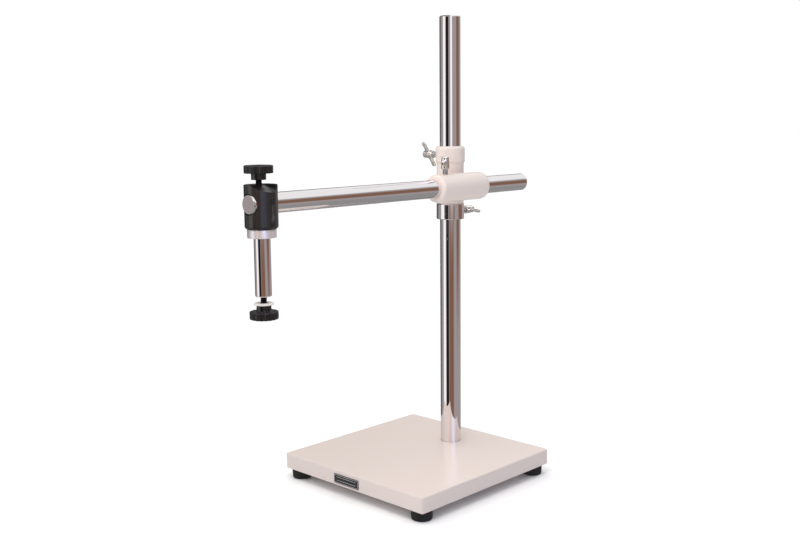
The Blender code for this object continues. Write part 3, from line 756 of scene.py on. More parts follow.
@made_once
def thread_tree():
    """A threaded rod along +Z: a core with a diamond section wound round it."""
    tree, given = new_geometry_tree(
        "screw_thread",
        {
            "Radius": "NodeSocketFloat",
            "Pitch": "NodeSocketFloat",
            "Length": "NodeSocketFloat",
            "Finish": "NodeSocketMaterial",
        },
    )
    radius, pitch, length, finish = (given.outputs[n] for n in ("Radius", "Pitch", "Length", "Finish"))
    depth = maths(tree, "MULTIPLY", pitch, 0.6)
    core_radius = maths(tree, "SUBTRACT", radius, depth)
    wound = maths(tree, "SUBTRACT", length, pitch)
    helix = add_node(
        tree,
        "GeometryNodeCurveSpiral",
        {
            "Resolution": 28,
            "Rotations": maths(tree, "DIVIDE", wound, pitch),
            "Start Radius": core_radius,
            "End Radius": core_radius,
            "Height": wound,
        },
    )
    upright = add_node(
        tree, "GeometryNodeSetCurveNormal", {"Curve": helix.outputs[0]}, mode="Z_UP"
    )
    section = add_node(
        tree,
        "GeometryNodeCurvePrimitiveQuadrilateral",
        {
            "Width": maths(tree, "MULTIPLY", depth, 2.0),
            "Bottom Height": maths(tree, "MULTIPLY", pitch, 0.46),
            "Top Height": maths(tree, "MULTIPLY", pitch, 0.46),
        },
        mode="KITE",
    )
    ridge = add_node(
        tree,
        "GeometryNodeCurveToMesh",
        {"Curve": upright.outputs[0], "Profile Curve": section.outputs[0], "Fill Caps": True},
    )
    raised = add_node(
        tree,
        "GeometryNodeTransform",
        {
            "Geometry": ridge.outputs[0],
            "Translation": add_node(
                tree, "ShaderNodeCombineXYZ", {"Z": maths(tree, "MULTIPLY", pitch, 0.5)}
            ).outputs[0],
        },
    )
    core = add_node(
        tree,
        "GeometryNodeMeshCylinder",
        {"Vertices": 40, "Radius": maths(tree, "MULTIPLY", core_radius, 1.03), "Depth": length},
    )
    standing = add_node(
        tree,
        "GeometryNodeTransform",
        {
            "Geometry": core.outputs["Mesh"],
            "Translation": add_node(
                tree, "ShaderNodeCombineXYZ", {"Z": maths(tree, "MULTIPLY", length, 0.5)}
            ).outputs[0],
        },
    )
    both = add_node(tree, "GeometryNodeJoinGeometry", {"Geometry": raised.outputs[0]})
    tree.links.new(standing.outputs[0], both.inputs["Geometry"])
    end_tree(tree, both.outputs[0], finish)
    return tree


@made_once
def flute_tree():
    """Presses round flutes into a turned knob's rim, evenly round local Z."""
    tree, given = new_geometry_tree(
        "fluted_rim",
        {
            "Flutes": "NodeSocketInt",
            "Flute Radius": "NodeSocketFloat",
            "Flute Depth": "NodeSocketFloat",
            "Knob Radius": "NodeSocketFloat",
            "Rim Bottom": "NodeSocketFloat",
            "Finish": "NodeSocketMaterial",
        },
    )
    flute_radius, depth, knob_radius = (
        given.outputs[n] for n in ("Flute Radius", "Flute Depth", "Knob Radius")
    )
    position = add_node(tree, "GeometryNodeInputPosition").outputs[0]
    parts = add_node(tree, "ShaderNodeSeparateXYZ", {0: position})
    x, y, z = parts.outputs
    half_step = maths(tree, "DIVIDE", pi, given.outputs["Flutes"])
    turn = maths(
        tree,
        "WRAP",
        maths(tree, "ARCTAN2", y, x),
        half_step,
        maths(tree, "MULTIPLY", half_step, -1.0),
    )
    across = maths(tree, "MULTIPLY", turn, knob_radius)
    rise = maths(
        tree,
        "SUBTRACT",
        maths(tree, "POWER", flute_radius, 2.0),
        maths(tree, "POWER", across, 2.0),
    )
    bite = maths(
        tree,
        "SUBTRACT",
        maths(tree, "SQRT", maths(tree, "MAXIMUM", rise, 0.0)),
        maths(tree, "SUBTRACT", flute_radius, depth),
    )
    bite = maths(tree, "MAXIMUM", bite, 0.0)
    squares = maths(tree, "ADD", maths(tree, "POWER", x, 2.0), maths(tree, "POWER", y, 2.0))
    from_axis = maths(tree, "SQRT", squares)
    near_rim = add_node(
        tree,
        "ShaderNodeMapRange",
        {
            "Value": maths(tree, "DIVIDE", from_axis, knob_radius),
            "From Min": 0.86,
            "From Max": 0.94,
        },
        interpolation_type="SMOOTHSTEP",
    )
    in_rim = maths(tree, "GREATER_THAN", z, given.outputs["Rim Bottom"])
    bite = maths(tree, "MULTIPLY", maths(tree, "MULTIPLY", bite, near_rim.outputs["Result"]), in_rim)
    keep = maths(
        tree, "SUBTRACT", 1.0, maths(tree, "DIVIDE", bite, maths(tree, "MAXIMUM", from_axis, 0.1 * MM))
    )
    moved = add_node(
        tree,
        "ShaderNodeCombineXYZ",
        {0: maths(tree, "MULTIPLY", x, keep), 1: maths(tree, "MULTIPLY", y, keep), 2: z},
    )
    pressed = add_node(
        tree,
        "GeometryNodeSetPosition",
        {"Geometry": given.outputs["Geometry"], "Position": moved.outputs[0]},
    )
    end_tree(tree, pressed.outputs[0], given.outputs["Finish"])
    return tree


@made_once
def corners_tree():
    """Puts the given piece at the four corners of a square, each turned its own way."""
    tree, given = new_geometry_tree(
        "four_corners",
        {
            "Spacing": "NodeSocketFloat",
            "Height": "NodeSocketFloat",
            "Seed": "NodeSocketInt",
            "Finish": "NodeSocketMaterial",
        },
    )
    spacing = given.outputs["Spacing"]
    square = add_node(
        tree,
        "GeometryNodeMeshGrid",
        {"Size X": spacing, "Size Y": spacing, "Vertices X": 2, "Vertices Y": 2},
    )
    lift = add_node(tree, "ShaderNodeCombineXYZ", {"Z": given.outputs["Height"]})
    placed = add_node(
        tree,
        "GeometryNodeTransform",
        {"Geometry": square.outputs["Mesh"], "Translation": lift.outputs[0]},
    )
    turn = add_node(
        tree, "FunctionNodeRandomValue", {"Max": 2 * pi, "Seed": given.outputs["Seed"]}, data_type="FLOAT"
    )
    turn_about_z = add_node(tree, "ShaderNodeCombineXYZ", {"Z": turn.outputs[1]})
    copies = add_node(
        tree,
        "GeometryNodeInstanceOnPoints",
        {
            "Points": placed.outputs[0],
            "Instance": given.outputs["Geometry"],
            "Rotation": turn_about_z.outputs[0],
        },
    )
    end_tree(tree, copies.outputs[0], given.outputs["Finish"])
    return tree


def threaded_rod(shaft, start, end, finish):
    """An M8 thread from start to end along the shaft's local +Z."""
    detail = bpy.context.scene.stand_detail
    values = {
        "Radius": SCREW_RADIUS,
        "Pitch": detail.thread_pitch,
        "Length": end - start,
        "Finish": finish,
    }
    mesh = run_tree(thread_tree(), bpy.data.meshes.new("seed"), values)
    mesh.transform(shaft @ Matrix.Translation((0, 0, start)))
    return mesh


# ------------------------------------------------------------------ base


def square_ring(shape, half, corner, height, steps=10):
    """A ring of vertices round a square with rounded corners."""
    ring = []
    for sign_x, sign_y, first in ((1, 1, 0), (-1, 1, 90), (-1, -1, 180), (1, -1, 270)):
        centre = Vector((sign_x * (half - corner), sign_y * (half - corner), height))
        for step in range(steps + 1):
            angle = radians(first + 90 * step / steps)
            ring.append(shape.verts.new(centre + Vector((cos(angle), sin(angle), 0)) * corner))
    return ring


def rounded_slab(size, corner, edge, bottom, top):
    """A square slab with rounded corners and rounded top and bottom edges."""
    shape = bmesh.new()
    levels = []
    for step in range(ARC_STEPS + 1):
        angle = radians(90 * step / ARC_STEPS)
        levels.append((edge * (1 - sin(angle)), bottom + edge * (1 - cos(angle))))
    levels += [(0.0, bottom + edge + SUPPORT), (0.0, top - edge - SUPPORT)]
    for step in range(ARC_STEPS + 1):
        angle = radians(90 * step / ARC_STEPS)
        levels.append((edge * (1 - cos(angle)), top - edge * (1 - sin(angle))))
    levels = [(edge + SUPPORT, bottom), *levels, (edge + SUPPORT, top)]
    rings = [square_ring(shape, size / 2 - inset, corner - inset, height) for inset, height in levels]
    for lower, upper in zip(rings, rings[1:]):
        for i in range(len(lower)):
            j = (i + 1) % len(lower)
            shape.faces.new((lower[i], lower[j], upper[j], upper[i]))
    shape.faces.new(rings[0])
    shape.faces.new(rings[-1])
    return mesh_from(shape, "slab")


def hole(radius, start, end, matrix=Matrix(), material=None, mouth=0.0):
    """A cutter for a round hole, widened by a small chamfer at both ends."""
    corners = [
        (0, start - 2 * MM, 0),
        (radius + mouth, start - 2 * MM, 0),
        (radius + mouth, start, 0),
        (radius, start + mouth, 0),
        (radius, end - mouth, 0),
        (radius + mouth, end, 0),
        (radius + mouth, end + 2 * MM, 0),
        (0, end + 2 * MM, 0),
    ]
    if mouth == 0:
        corners = [(0, start, 0), (radius, start, 0), (radius, end, 0), (0, end, 0)]
    mesh = lathe([Vector(c[:2]) for c in corners], BAR_SIDES)
    mesh.transform(matrix)
    if material:
        mesh.materials.append(material)
    return mesh


def make_base():
    on_post = Matrix.Translation((0, POST_Y, 0))
    slab = rounded_slab(BASE_SIZE, BASE_CORNER, BASE_EDGE, BASE_BOTTOM, 0.0)
    slab.materials.append(cream_stove_enamel())
    bare = machined_iron()
    socket_floor = span("post_bar", 2)[0] - GAP
    pocket_top = span("post_washer", 2)[1] + GAP
    mesh = cut(
        slab,
        hole(POST_RADIUS + GAP, socket_floor, SOCKET_MOUTH, on_post, bare),
        hole(POCKET_RADIUS, BASE_BOTTOM - 5 * MM, pocket_top, on_post, bare),
        hole(BOLT_HOLE_RADIUS, pocket_top - MM, socket_floor + MM, on_post, bare),
    )
    finish_piece("enamelled_base", mesh, "base", ["base_plate"])


def make_label():
    """A plain black foil label with a thin bare frame and two ruled lines to write on."""
    low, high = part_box("front_label")
    centre = (low + high) / 2
    width, thickness, height = high - low
    ground = rounded_plate(width, height, thickness, 0.8 * MM)
    ground.transform(Matrix.Translation(centre))
    ground.materials.append(label_ground())
    strips = []
    line, inset = 0.35 * MM, 1.0 * MM
    inner_width, inner_height = width - 2 * inset, height - 2 * inset
    for sign in (-1, 1):
        strips.append((inner_width, line, 0, sign * (inner_height - line) / 2))
        strips.append((line, inner_height, sign * (inner_width - line) / 2, 0))
    for level in (-0.16, 0.2):
        strips.append((0.78 * width, line, 0, level * height))
    meshes = [ground]
    for strip_width, strip_height, x, z in strips:
        place = Matrix.Translation((centre.x + x, low.y + 0.02 * MM, centre.z + z))
        strip = block_mesh((strip_width, 0.06 * MM, strip_height), place)
        strip.materials.append(label_print())
        meshes.append(strip)
    finish_piece("blank_label", together(*meshes), "base", ["front_label"])


def rounded_plate(width, height, thickness, corner):
    """A thin plate facing -Y with rounded corners and softened front edges."""
    shape = bmesh.new()
    outline = []
    for sign_x, sign_z, first in ((1, 1, 0), (-1, 1, 90), (-1, -1, 180), (1, -1, 270)):
        for step in range(ARC_STEPS + 1):
            angle = radians(first + 90 * step / ARC_STEPS)
            x = sign_x * (width / 2 - corner) + corner * cos(angle)
            z = sign_z * (height / 2 - corner) + corner * sin(angle)
            outline.append((x, z))
    soft = 0.12 * MM
    rings = []
    for y, inset in ((thickness / 2, 0), (-thickness / 2 + soft, 0), (-thickness / 2, soft)):
        scale_x, scale_z = 1 - 2 * inset / width, 1 - 2 * inset / height
        rings.append([shape.verts.new((x * scale_x, y, z * scale_z)) for x, z in outline])
    for near, far in zip(rings, rings[1:]):
        for i in range(len(near)):
            j = (i + 1) % len(near)
            shape.faces.new((near[i], near[j], far[j], far[i]))
    shape.faces.new(rings[0])
    shape.faces.new(rings[-1])
    return mesh_from(shape, "plate")


CORNER_NAMES = ("front_left", "front_right", "rear_left", "rear_right")


def at_corners(mesh, finish):
    detail = bpy.context.scene.stand_detail
    values = {"Spacing": detail.foot_spacing, "Height": BASE_BOTTOM, "Seed": 7, "Finish": finish}
    return run_tree(corners_tree(), mesh, values)


def make_feet():
    """Slightly tapered rubber feet with a recess below for the screw."""
    radius = half_width("foot_front_left")
    bottom = span("foot_front_left", 2)[0] - BASE_BOTTOM
    corners = [
        (radius, -GAP, FOOT_TAPER),
        (radius - FOOT_TAPER, bottom, FOOT_EDGE),
        (FOOT_RECESS_RADIUS, bottom, 0.5 * MM),
        (FOOT_RECESS_RADIUS - 0.2 * MM, bottom + FOOT_RECESS_DEPTH, 0.4 * MM),
        (FOOT_HOLE_RADIUS, bottom + FOOT_RECESS_DEPTH, 0),
        (FOOT_HOLE_RADIUS, -GAP, 0),
    ]
    mesh = at_corners(turned(corners, closed=True), black_rubber())
    nodes = [f"foot_{corner}" for corner in CORNER_NAMES]
    finish_piece("rubber_feet", mesh, "base", nodes)


def make_foot_screws():
    """Pan-head screws with a cross recess, each left at its own angle."""
    low, high = span("foot_screw_front_left", 2)
    head_low, tip = low - BASE_BOTTOM, high - BASE_BOTTOM
    corners = [
        (0, tip, 0),
        (FOOT_SCREW_RADIUS, tip, 0.5 * MM),
        (FOOT_SCREW_RADIUS, head_low + FOOT_SCREW_HEAD_HEIGHT, 0),
        (FOOT_SCREW_HEAD_RADIUS, head_low + FOOT_SCREW_HEAD_HEIGHT, 0.3 * MM),
        (FOOT_SCREW_HEAD_RADIUS, head_low, 1.6 * MM),
        (0, head_low, 0),
    ]
    blades = []
    for turn in (0, pi / 2):
        place = Matrix.Rotation(turn, 4, "Z") @ Matrix.Translation((0, 0, head_low))
        blades.append(block_mesh((5.0 * MM, 1.0 * MM, 3.2 * MM), place))
    mesh = at_corners(cut(turned(corners, sides=40), *blades), blackened_steel())
    nodes = [f"foot_screw_{corner}" for corner in CORNER_NAMES]
    finish_piece("foot_screws", mesh, "base", nodes)


# ------------------------------------------------------------------ post


def make_post():
    bottom, top = span("post_bar", 2)
    corners = [
        (0, top, 0),
        (POST_RADIUS - BAR_CHAMFER, top, 0.3 * MM),
        (POST_RADIUS, top - BAR_CHAMFER, 0.4 * MM),
        (POST_RADIUS, bottom + 0.75 * MM, 0.3 * MM),
        (POST_RADIUS - 0.75 * MM, bottom, 0),
        (BOLT_HOLE_RADIUS, bottom, 0),
        (BOLT_HOLE_RADIUS, bottom + BOLT_HOLE_DEPTH, 0),
        (0, bottom + BOLT_HOLE_DEPTH + 3 * MM, 0),
    ]
    mesh = turned(corners, Matrix.Translation((0, POST_Y, 0)), BAR_SIDES)
    finish_piece("chromed_post", mesh, "base", ["post_bar"], hard_chrome("Z"))


def make_post_fixing():
    """The hexagon bolt and its washer, in the pocket under the base."""
    on_post = Matrix.Translation((0, POST_Y, 0))
    low, high = span("post_washer", 2)
    radius = half_width("post_washer")
    washer = turned(
        [
            (radius, high, 0.3 * MM),
            (radius, low, 0.5 * MM),
            (BOLT_HOLE_RADIUS, low, 0.2 * MM),
            (BOLT_HOLE_RADIUS, high, 0.2 * MM),
        ],
        on_post,
        closed=True,
    )
    finish_piece("post_fixing_washer", washer, "base", ["post_washer"], zinc_plated_steel())

    head_low, top = span("post_bolt", 2)
    head_top = low - GAP
    corner_radius = half_width("post_bolt")
    head = prism(corner_radius, head_low, head_top, 6)
    head.transform(on_post)
    keeper = lathe(
        [
            Vector(p)
            for p in (
                (2 * corner_radius, head_low - MM),
                (2 * corner_radius, head_low + 7 * MM),
                (corner_radius * 0.86, head_low),
                (corner_radius * 0.86, head_low - MM),
            )
        ],
        SMALL_SIDES,
        closed=True,
    )
    keeper.transform(on_post)
    head = cut(head, keeper)
    shank = turned(
        [
            (0, top, 0),
            (5 * MM, top, 0),
            (6 * MM, top - MM, 0),
            (6 * MM, head_low + MM, 0),
            (0, head_low + MM, 0),
        ],
        on_post,
    )
    finish_piece(
        "post_fixing_bolt", together(head, shank), "base", ["post_bolt"], zinc_plated_steel()
    )


# ------------------------------------------------------------------ clamp screws and pads


def wing_casting(hub_start):
    """The cast hub and wings, along local +Z with the wings on local X."""
    hub = turned(
        [
            (0, hub_start + WING_HUB_LENGTH, 0),
            (WING_HUB_RADIUS - 0.8 * MM, hub_start + WING_HUB_LENGTH, 1.2 * MM),
            (WING_HUB_RADIUS, hub_start + WING_HUB_LENGTH / 2, 2 * MM),
            (WING_HUB_RADIUS, hub_start + 0.8 * MM, 0.6 * MM),
            (WING_HUB_RADIUS - 0.8 * MM, hub_start, 0.3 * MM),
            (0, hub_start, 0),
        ]
    )
    tip = WING_REACH - WING_TIP_RADIUS
    half = [
        (0, WING_REACH, 0),
        (WING_TIP_RADIUS, WING_REACH, 0.98 * WING_TIP_RADIUS),
        (WING_TIP_RADIUS, tip - 1.4 * MM, 1.5 * MM),
        (2.8 * MM, tip - 5 * MM, 2 * MM),
        (4.0 * MM, 4 * MM, 0),
    ]
    outline = half + [(radius, -height, fillet) for radius, height, fillet in reversed(half)]
    hub_middle = Matrix.Translation((0, 0, hub_start + WING_HUB_LENGTH / 2))
    across = hub_middle @ Matrix.Rotation(pi / 2, 4, "Y")
    wings = turned(outline, across @ Matrix.Diagonal((1, WING_FLATTEN, 1, 1)))
    return cast_together((hub, wings), WING_VOXEL, 3)


def wing_screw(name, body, node, shaft, hub_start, tip_start):
    casting = wing_casting(hub_start)
    casting.materials.clear()
    casting.materials.append(nickel_plated_casting())
    casting.transform(shaft)
    rod = threaded_rod(shaft, tip_start, hub_start + MM, zinc_plated_steel())
    finish_piece(name, together(casting, rod), body, [node])


def collar_shaft():
    return pointing(Y_AXIS, Vector((0, POST_Y, COLLAR_SCREW_Z)), COLLAR_WING_TURN)


def post_clamp_shaft():
    return pointing(-X_AXIS, Vector((0, POST_Y, POST_SCREW_Z)), POST_WING_TURN)


def boom_clamp_shaft():
    return pointing(Z_AXIS, Vector((BOOM_X, BOOM_SCREW_Y, BOOM_Z)), BOOM_WING_TURN)


def make_clamp_screws():
    reach = 2 * GAP + PAD_THICKNESS
    on_post = POST_RADIUS + reach
    on_boom = BOOM_RADIUS + reach
    wing_screw(
        "collar_wing_screw", "collar_screw", "collar_clamp_screw", collar_shaft(), COLLAR_HUB_START, on_post
    )
    wing_screw(
        "post_wing_screw", "post_screw", "post_clamp_screw", post_clamp_shaft(), POST_HUB_START, on_post
    )
    wing_screw(
        "boom_wing_screw", "boom_screw", "boom_clamp_screw", boom_clamp_shaft(), BOOM_HUB_START, on_boom
    )


def make_clamp_pads():
    """Brass pads that keep the screws off the chrome."""
    above_boom = pointing(Z_AXIS, Vector((BOOM_X, TOP_KNOB_Y, BOOM_Z)))
    pads = (
        ("collar_brass_pad", "collar", "collar_clamp_pad", collar_shaft(), POST_RADIUS),
        ("post_brass_pad", "crosshead", "post_clamp_pad", post_clamp_shaft(), POST_RADIUS),
        ("boom_brass_pad", "crosshead", "boom_clamp_pad", boom_clamp_shaft(), BOOM_RADIUS),
        ("head_brass_pad", "head", "head_clamp_pad", above_boom, BOOM_RADIUS),
    )
    for name, body, node, shaft, bar_radius in pads:
        start = bar_radius + GAP
        corners = [
            (0, start + PAD_THICKNESS, 0),
            (3.4 * MM, start + PAD_THICKNESS, 0.4 * MM),
            (3.4 * MM, start, 0.4 * MM),
            (0, start, 0),
        ]
        finish_piece(name, turned(corners, shaft, 40), body, [node], turned_brass())


# ------------------------------------------------------------------ collar and crosshead


def make_collar():
    low, high = span("safety_collar", 2)
    radius = half_width("safety_collar")
    bore = POST_RADIUS + GAP
    corners = [
        (bore + 0.7 * MM, high, 0.1 * MM),
        (radius - 0.8 * MM, high, 0.3 * MM),
        (radius, high - 0.8 * MM, 0.3 * MM),
        (radius, low + 0.8 * MM, 0.3 * MM),
        (radius - 0.8 * MM, low, 0.3 * MM),
        (bore + 0.7 * MM, low, 0.1 * MM),
        (bore, low + 0.7 * MM, 0.1 * MM),
        (bore, high - 0.7 * MM, 0.1 * MM),
    ]
    mesh = turned(corners, Matrix.Translation((0, POST_Y, 0)), BAR_SIDES, closed=True)
    mesh.materials.append(hard_chrome("Z"))
    screw_hole = hole(SCREW_RADIUS + GAP, POST_RADIUS - 2 * MM, 2 * radius, collar_shaft(), blackened_steel())
    finish_piece("chromed_collar", cut(mesh, screw_hole), "collar", ["safety_collar"])


def make_crosshead():
    """Two sleeves cast in one, then bored for the post and the boom and drilled for the screws."""
    bottom, top = span("crosshead_casting", 2)
    front, rear = span("crosshead_casting", 1)
    band_bottom = top - BAND_HEIGHT
    band_radius = half_width("safety_collar") + MM
    on_post = Matrix.Translation((0, POST_Y, 0))
    along_boom = pointing(Y_AXIS, Vector((BOOM_X, 0, BOOM_Z)))
    upright = turned(
        [
            (0, top, 0),
            (band_radius, top, 4 * MM),
            (band_radius, band_bottom + 0.6 * MM, 0.8 * MM),
            (SLEEVE_RADIUS, band_bottom - 0.8 * MM, 0.8 * MM),
            (SLEEVE_RADIUS, bottom, 1.2 * MM),
            (0, bottom, 0),
        ],
        on_post,
        BAR_SIDES,
    )
    level = turned(
        [
            (0, rear, 0),
            (SLEEVE_RADIUS, rear, 6 * MM),
            (SLEEVE_RADIUS, front, 4.5 * MM),
            (0, front, 0),
        ],
        along_boom,
        BAR_SIDES,
    )
    casting = cast_together((upright, level), CASTING_VOXEL, 4)
    casting.materials.clear()
    casting.materials.append(cream_stove_enamel())
    bare = machined_iron()
    skin = cream_stove_enamel()
    mesh = cut(
        casting,
        hole(POST_RADIUS - GAP, bottom, top, on_post, skin, 1.4 * MM),
        hole(BOOM_RADIUS - GAP, front, rear, along_boom, skin, 1.1 * MM),
        hole(POST_RADIUS + GAP, bottom - MM, top + MM, on_post, bare),
        hole(BOOM_RADIUS + GAP, front - MM, rear + MM, along_boom, bare),
        hole(SCREW_RADIUS + GAP, POST_RADIUS - 2 * MM, 2 * band_radius, post_clamp_shaft(), bare),
        hole(SCREW_RADIUS + GAP, BOOM_RADIUS - 2 * MM, 2 * SLEEVE_RADIUS, boom_clamp_shaft(), bare),
    )
    finish_piece("enamelled_crosshead", mesh, "crosshead", ["crosshead_casting"])


def make_boom():
    front, rear = span("boom_bar", 1)
    corners = [
        (0, rear, 0),
        (BOOM_RADIUS - BAR_CHAMFER, rear, 0.3 * MM),
        (BOOM_RADIUS, rear - BAR_CHAMFER, 0.4 * MM),
        (BOOM_RADIUS, front + BAR_CHAMFER, 0.4 * MM),
        (BOOM_RADIUS - BAR_CHAMFER, front, 0.3 * MM),
        (0, front, 0),
    ]
    mesh = turned(corners, pointing(Y_AXIS, Vector((BOOM_X, 0, BOOM_Z))), BAR_SIDES)
    finish_piece("chromed_boom", mesh, "boom", ["boom_bar"], hard_chrome("Y"))


# ------------------------------------------------------------------ head


def relief_cutter(radius, top):
    """The milled slope's cutter, rounded where the slope runs up into its back wall."""
    shape = bmesh.new()
    bmesh.ops.create_cube(shape, size=1.0, matrix=Matrix.Diagonal((2 * radius, 2 * radius, radius, 1)))
    inside = [e for e in shape.edges if all(v.co.y > 0 and v.co.z < 0 for v in e.verts)]
    bmesh.ops.bevel(shape, geom=inside, offset=RELIEF_FILLET, segments=16, profile=0.5, affect="EDGES")
    mesh = mesh_from(shape, "relief")
    mesh.transform(
        Matrix.Translation((BOOM_X, HEAD_Y, top))
        @ Matrix.Rotation(RELIEF_TURN, 4, "Z")
        @ Matrix.Rotation(RELIEF_SLOPE, 4, "Y")
        @ Matrix.Translation((radius, RELIEF_BACK - radius, radius / 2))
    )
    return mesh


def make_head_block():
    """A turned block bored across for the boom, with a sloping flat milled on one shoulder."""
    bottom, top = span("head_block", 2)
    radius = half_width("head_block", 1)
    on_head = Matrix.Translation((BOOM_X, HEAD_Y, 0))
    block = turned(
        [(0, top, 0), (radius, top, 1.0 * MM), (radius, bottom, 3.5 * MM), (0, bottom, 0)], on_head, BAR_SIDES
    )
    block.materials.append(black_anodised_aluminium())
    socket_top = span("mounting_pin", 2)[1] + GAP
    inner = black_anodised_aluminium()
    across = pointing(Y_AXIS, Vector((BOOM_X, HEAD_Y, BOOM_Z)))
    mesh = cut(
        block,
        relief_cutter(radius, top),
        hole(BOOM_RADIUS + GAP, -2 * radius, 2 * radius, across, inner),
        hole(half_width("mounting_pin") + GAP, bottom - 2 * MM, socket_top, on_head, inner),
        hole(SCREW_RADIUS + GAP, BOOM_Z, top + 2 * MM, Matrix.Translation((BOOM_X, TOP_KNOB_Y, 0)), inner),
        hole(2.8 * MM, 0, 2 * radius, grub_shaft(), inner),
    )
    finish_piece("anodised_head_block", mesh, "head", ["head_block"])


def grub_shaft():
    return pointing(X_AXIS, Vector((BOOM_X, middle("head_grub_screw").y, BOOM_Z)))


def make_grub_screw():
    low, high = span("head_grub_screw", 0)
    start, end = low - BOOM_X, high - BOOM_X
    corners = [
        (0, end, 0),
        (2.5 * MM, end, 0.4 * MM),
        (2.5 * MM, start + 0.8 * MM, 0),
        (1.7 * MM, start, 0),
        (0, start, 0),
    ]
    key = prism(1.45 * MM, end - 2.5 * MM, end + MM, 6)
    mesh = cut(turned(corners, sides=40), key)
    mesh.transform(grub_shaft())
    finish_piece("socket_grub_screw", mesh, "head", ["head_grub_screw"], blackened_steel())


def make_bearing_ring():
    bottom, top = span("bearing_ring", 2)
    radius = half_width("bearing_ring")
    inner = half_width("mounting_pin") + GAP
    corners = [
        (radius, top, 0.4 * MM),
        (radius, bottom, 0.7 * MM),
        (inner, bottom, 0.3 * MM),
        (inner, top, 0.3 * MM),
    ]
    mesh = turned(corners, Matrix.Translation((BOOM_X, HEAD_Y, 0)), BAR_SIDES, closed=True)
    finish = turned_aluminium()
    finish_piece("turned_bearing_ring", mesh, "head", ["bearing_ring"], finish)


def make_mounting_pin():
    bottom, top = span("mounting_pin", 2)
    radius = half_width("mounting_pin")
    corners = [
        (0, top, 0),
        (radius, top, 0.4 * MM),
        (radius, bottom + MM, 0.3 * MM),
        (radius - MM, bottom, 0.3 * MM),
        (SCREW_RADIUS + GAP, bottom, 0.2 * MM),
        (SCREW_RADIUS + GAP, bottom + 16 * MM, 0),
        (0, bottom + 18 * MM, 0),
    ]
    mesh = turned(corners, Matrix.Translation((BOOM_X, HEAD_Y, 0)), BAR_SIDES)
    finish_piece("chromed_mounting_pin", mesh, "head", ["mounting_pin"], hard_chrome("Z"))


def make_nylon_washer():
    bottom, top = span("nylon_washer", 2)
    radius = half_width("nylon_washer")
    inner = SCREW_RADIUS + GAP
    corners = [
        (radius, top, 0.5 * MM),
        (radius, bottom, 0.5 * MM),
        (inner, bottom, 0.2 * MM),
        (inner, top, 0.2 * MM),
    ]
    mesh = turned(corners, Matrix.Translation((BOOM_X, HEAD_Y, 0)), closed=True)
    finish = white_nylon()
    finish_piece("nylon_bearing_washer", mesh, "retaining_knob", ["nylon_washer"], finish)


# ------------------------------------------------------------------ knobs and studs


def fluted_knob(name, body, node, place):
    """A moulded knob: a plain hub at the place's origin and a fluted rim above it."""
    detail = bpy.context.scene.stand_detail
    rim_bottom, top = KNOB_HUB_HEIGHT, KNOB_HUB_HEIGHT + KNOB_RIM_HEIGHT
    radius = half_width(node)
    bore = SCREW_RADIUS + GAP
    corners = [
        (0, top - 0.5 * MM, 0),
        (radius - 4.4 * MM, top - 0.5 * MM, 0.4 * MM),
        (radius - 3.6 * MM, top, 0.6 * MM),
        (radius, top, 1.3 * MM),
        (radius, rim_bottom, 0.9 * MM),
        (KNOB_HUB_RADIUS, rim_bottom, 0.8 * MM),
        (KNOB_HUB_RADIUS - 0.2 * MM, 0, 0.6 * MM),
        (bore, 0, 0.2 * MM),
        (bore, KNOB_HOLE_DEPTH, 0),
        (0, KNOB_HOLE_DEPTH + MM, 0),
    ]
    sides_per_flute = 14
    blank = turned(corners, sides=detail.knob_flutes * sides_per_flute)
    values = {
        "Flutes": detail.knob_flutes,
        "Flute Radius": detail.flute_radius,
        "Flute Depth": detail.flute_depth,
        "Knob Radius": radius,
        "Rim Bottom": rim_bottom - 0.05 * MM,
        "Finish": black_phenolic(),
    }
    mesh = run_tree(flute_tree(), blank, values)
    mesh.transform(place)
    finish_piece(name, mesh, body, [node])


def make_knobs():
    hub_bottom = span("top_knob", 2)[0]
    above_block = Matrix.Translation((BOOM_X, TOP_KNOB_Y, hub_bottom))
    fluted_knob("moulded_clamp_knob", "clamp_knob", "top_knob", above_block)
    hub_top = span("safety_knob", 2)[1]
    fluted_knob(
        "moulded_retaining_knob",
        "retaining_knob",
        "safety_knob",
        pointing(-Z_AXIS, Vector((BOOM_X, HEAD_Y, hub_top))),
    )


def make_studs():
    for name, body, node in (
        ("clamp_knob_stud", "clamp_knob", "top_knob_stud"),
        ("retaining_knob_stud", "retaining_knob", "safety_stud"),
    ):
        bottom, top = span(node, 2)
        centre = middle(node)
        shaft = Matrix.Translation((centre.x, centre.y, bottom))
        rod = threaded_rod(shaft, 0, top - bottom, blackened_steel())
        finish_piece(name, rod, body, [node])


# ------------------------------------------------------------------ stage

CAMERA_PLACE = Vector((0.99873, -1.06596, 0.48226))
CAMERA_AZIMUTH = 44.018
CAMERA_PITCH = 8.249
CAMERA_ROLL = 0.533
CAMERA_LENS = 46.944
SENSOR_WIDTH = 36.0


def add_camera():
    azimuth, pitch, roll = radians(CAMERA_AZIMUTH), radians(CAMERA_PITCH), radians(CAMERA_ROLL)
    ahead = Vector((-sin(azimuth) * cos(pitch), cos(azimuth) * cos(pitch), -sin(pitch)))
    right = Vector((cos(azimuth), sin(azimuth), 0))
    down = ahead.cross(right)
    rolled_right = cos(roll) * right + sin(roll) * down
    rolled_down = cos(roll) * down - sin(roll) * right
    turn = Matrix((rolled_right, -rolled_down, -ahead)).transposed().to_4x4()
    camera = bpy.data.cameras.new("camera")
    camera.sensor_width = SENSOR_WIDTH
    camera.lens = CAMERA_LENS
    camera.clip_end = 50
    obj = bpy.data.objects.new("camera", camera)
    bpy.context.scene.collection.objects.link(obj)
    obj.matrix_world = Matrix.Translation(CAMERA_PLACE) @ turn
    bpy.context.scene.camera = obj


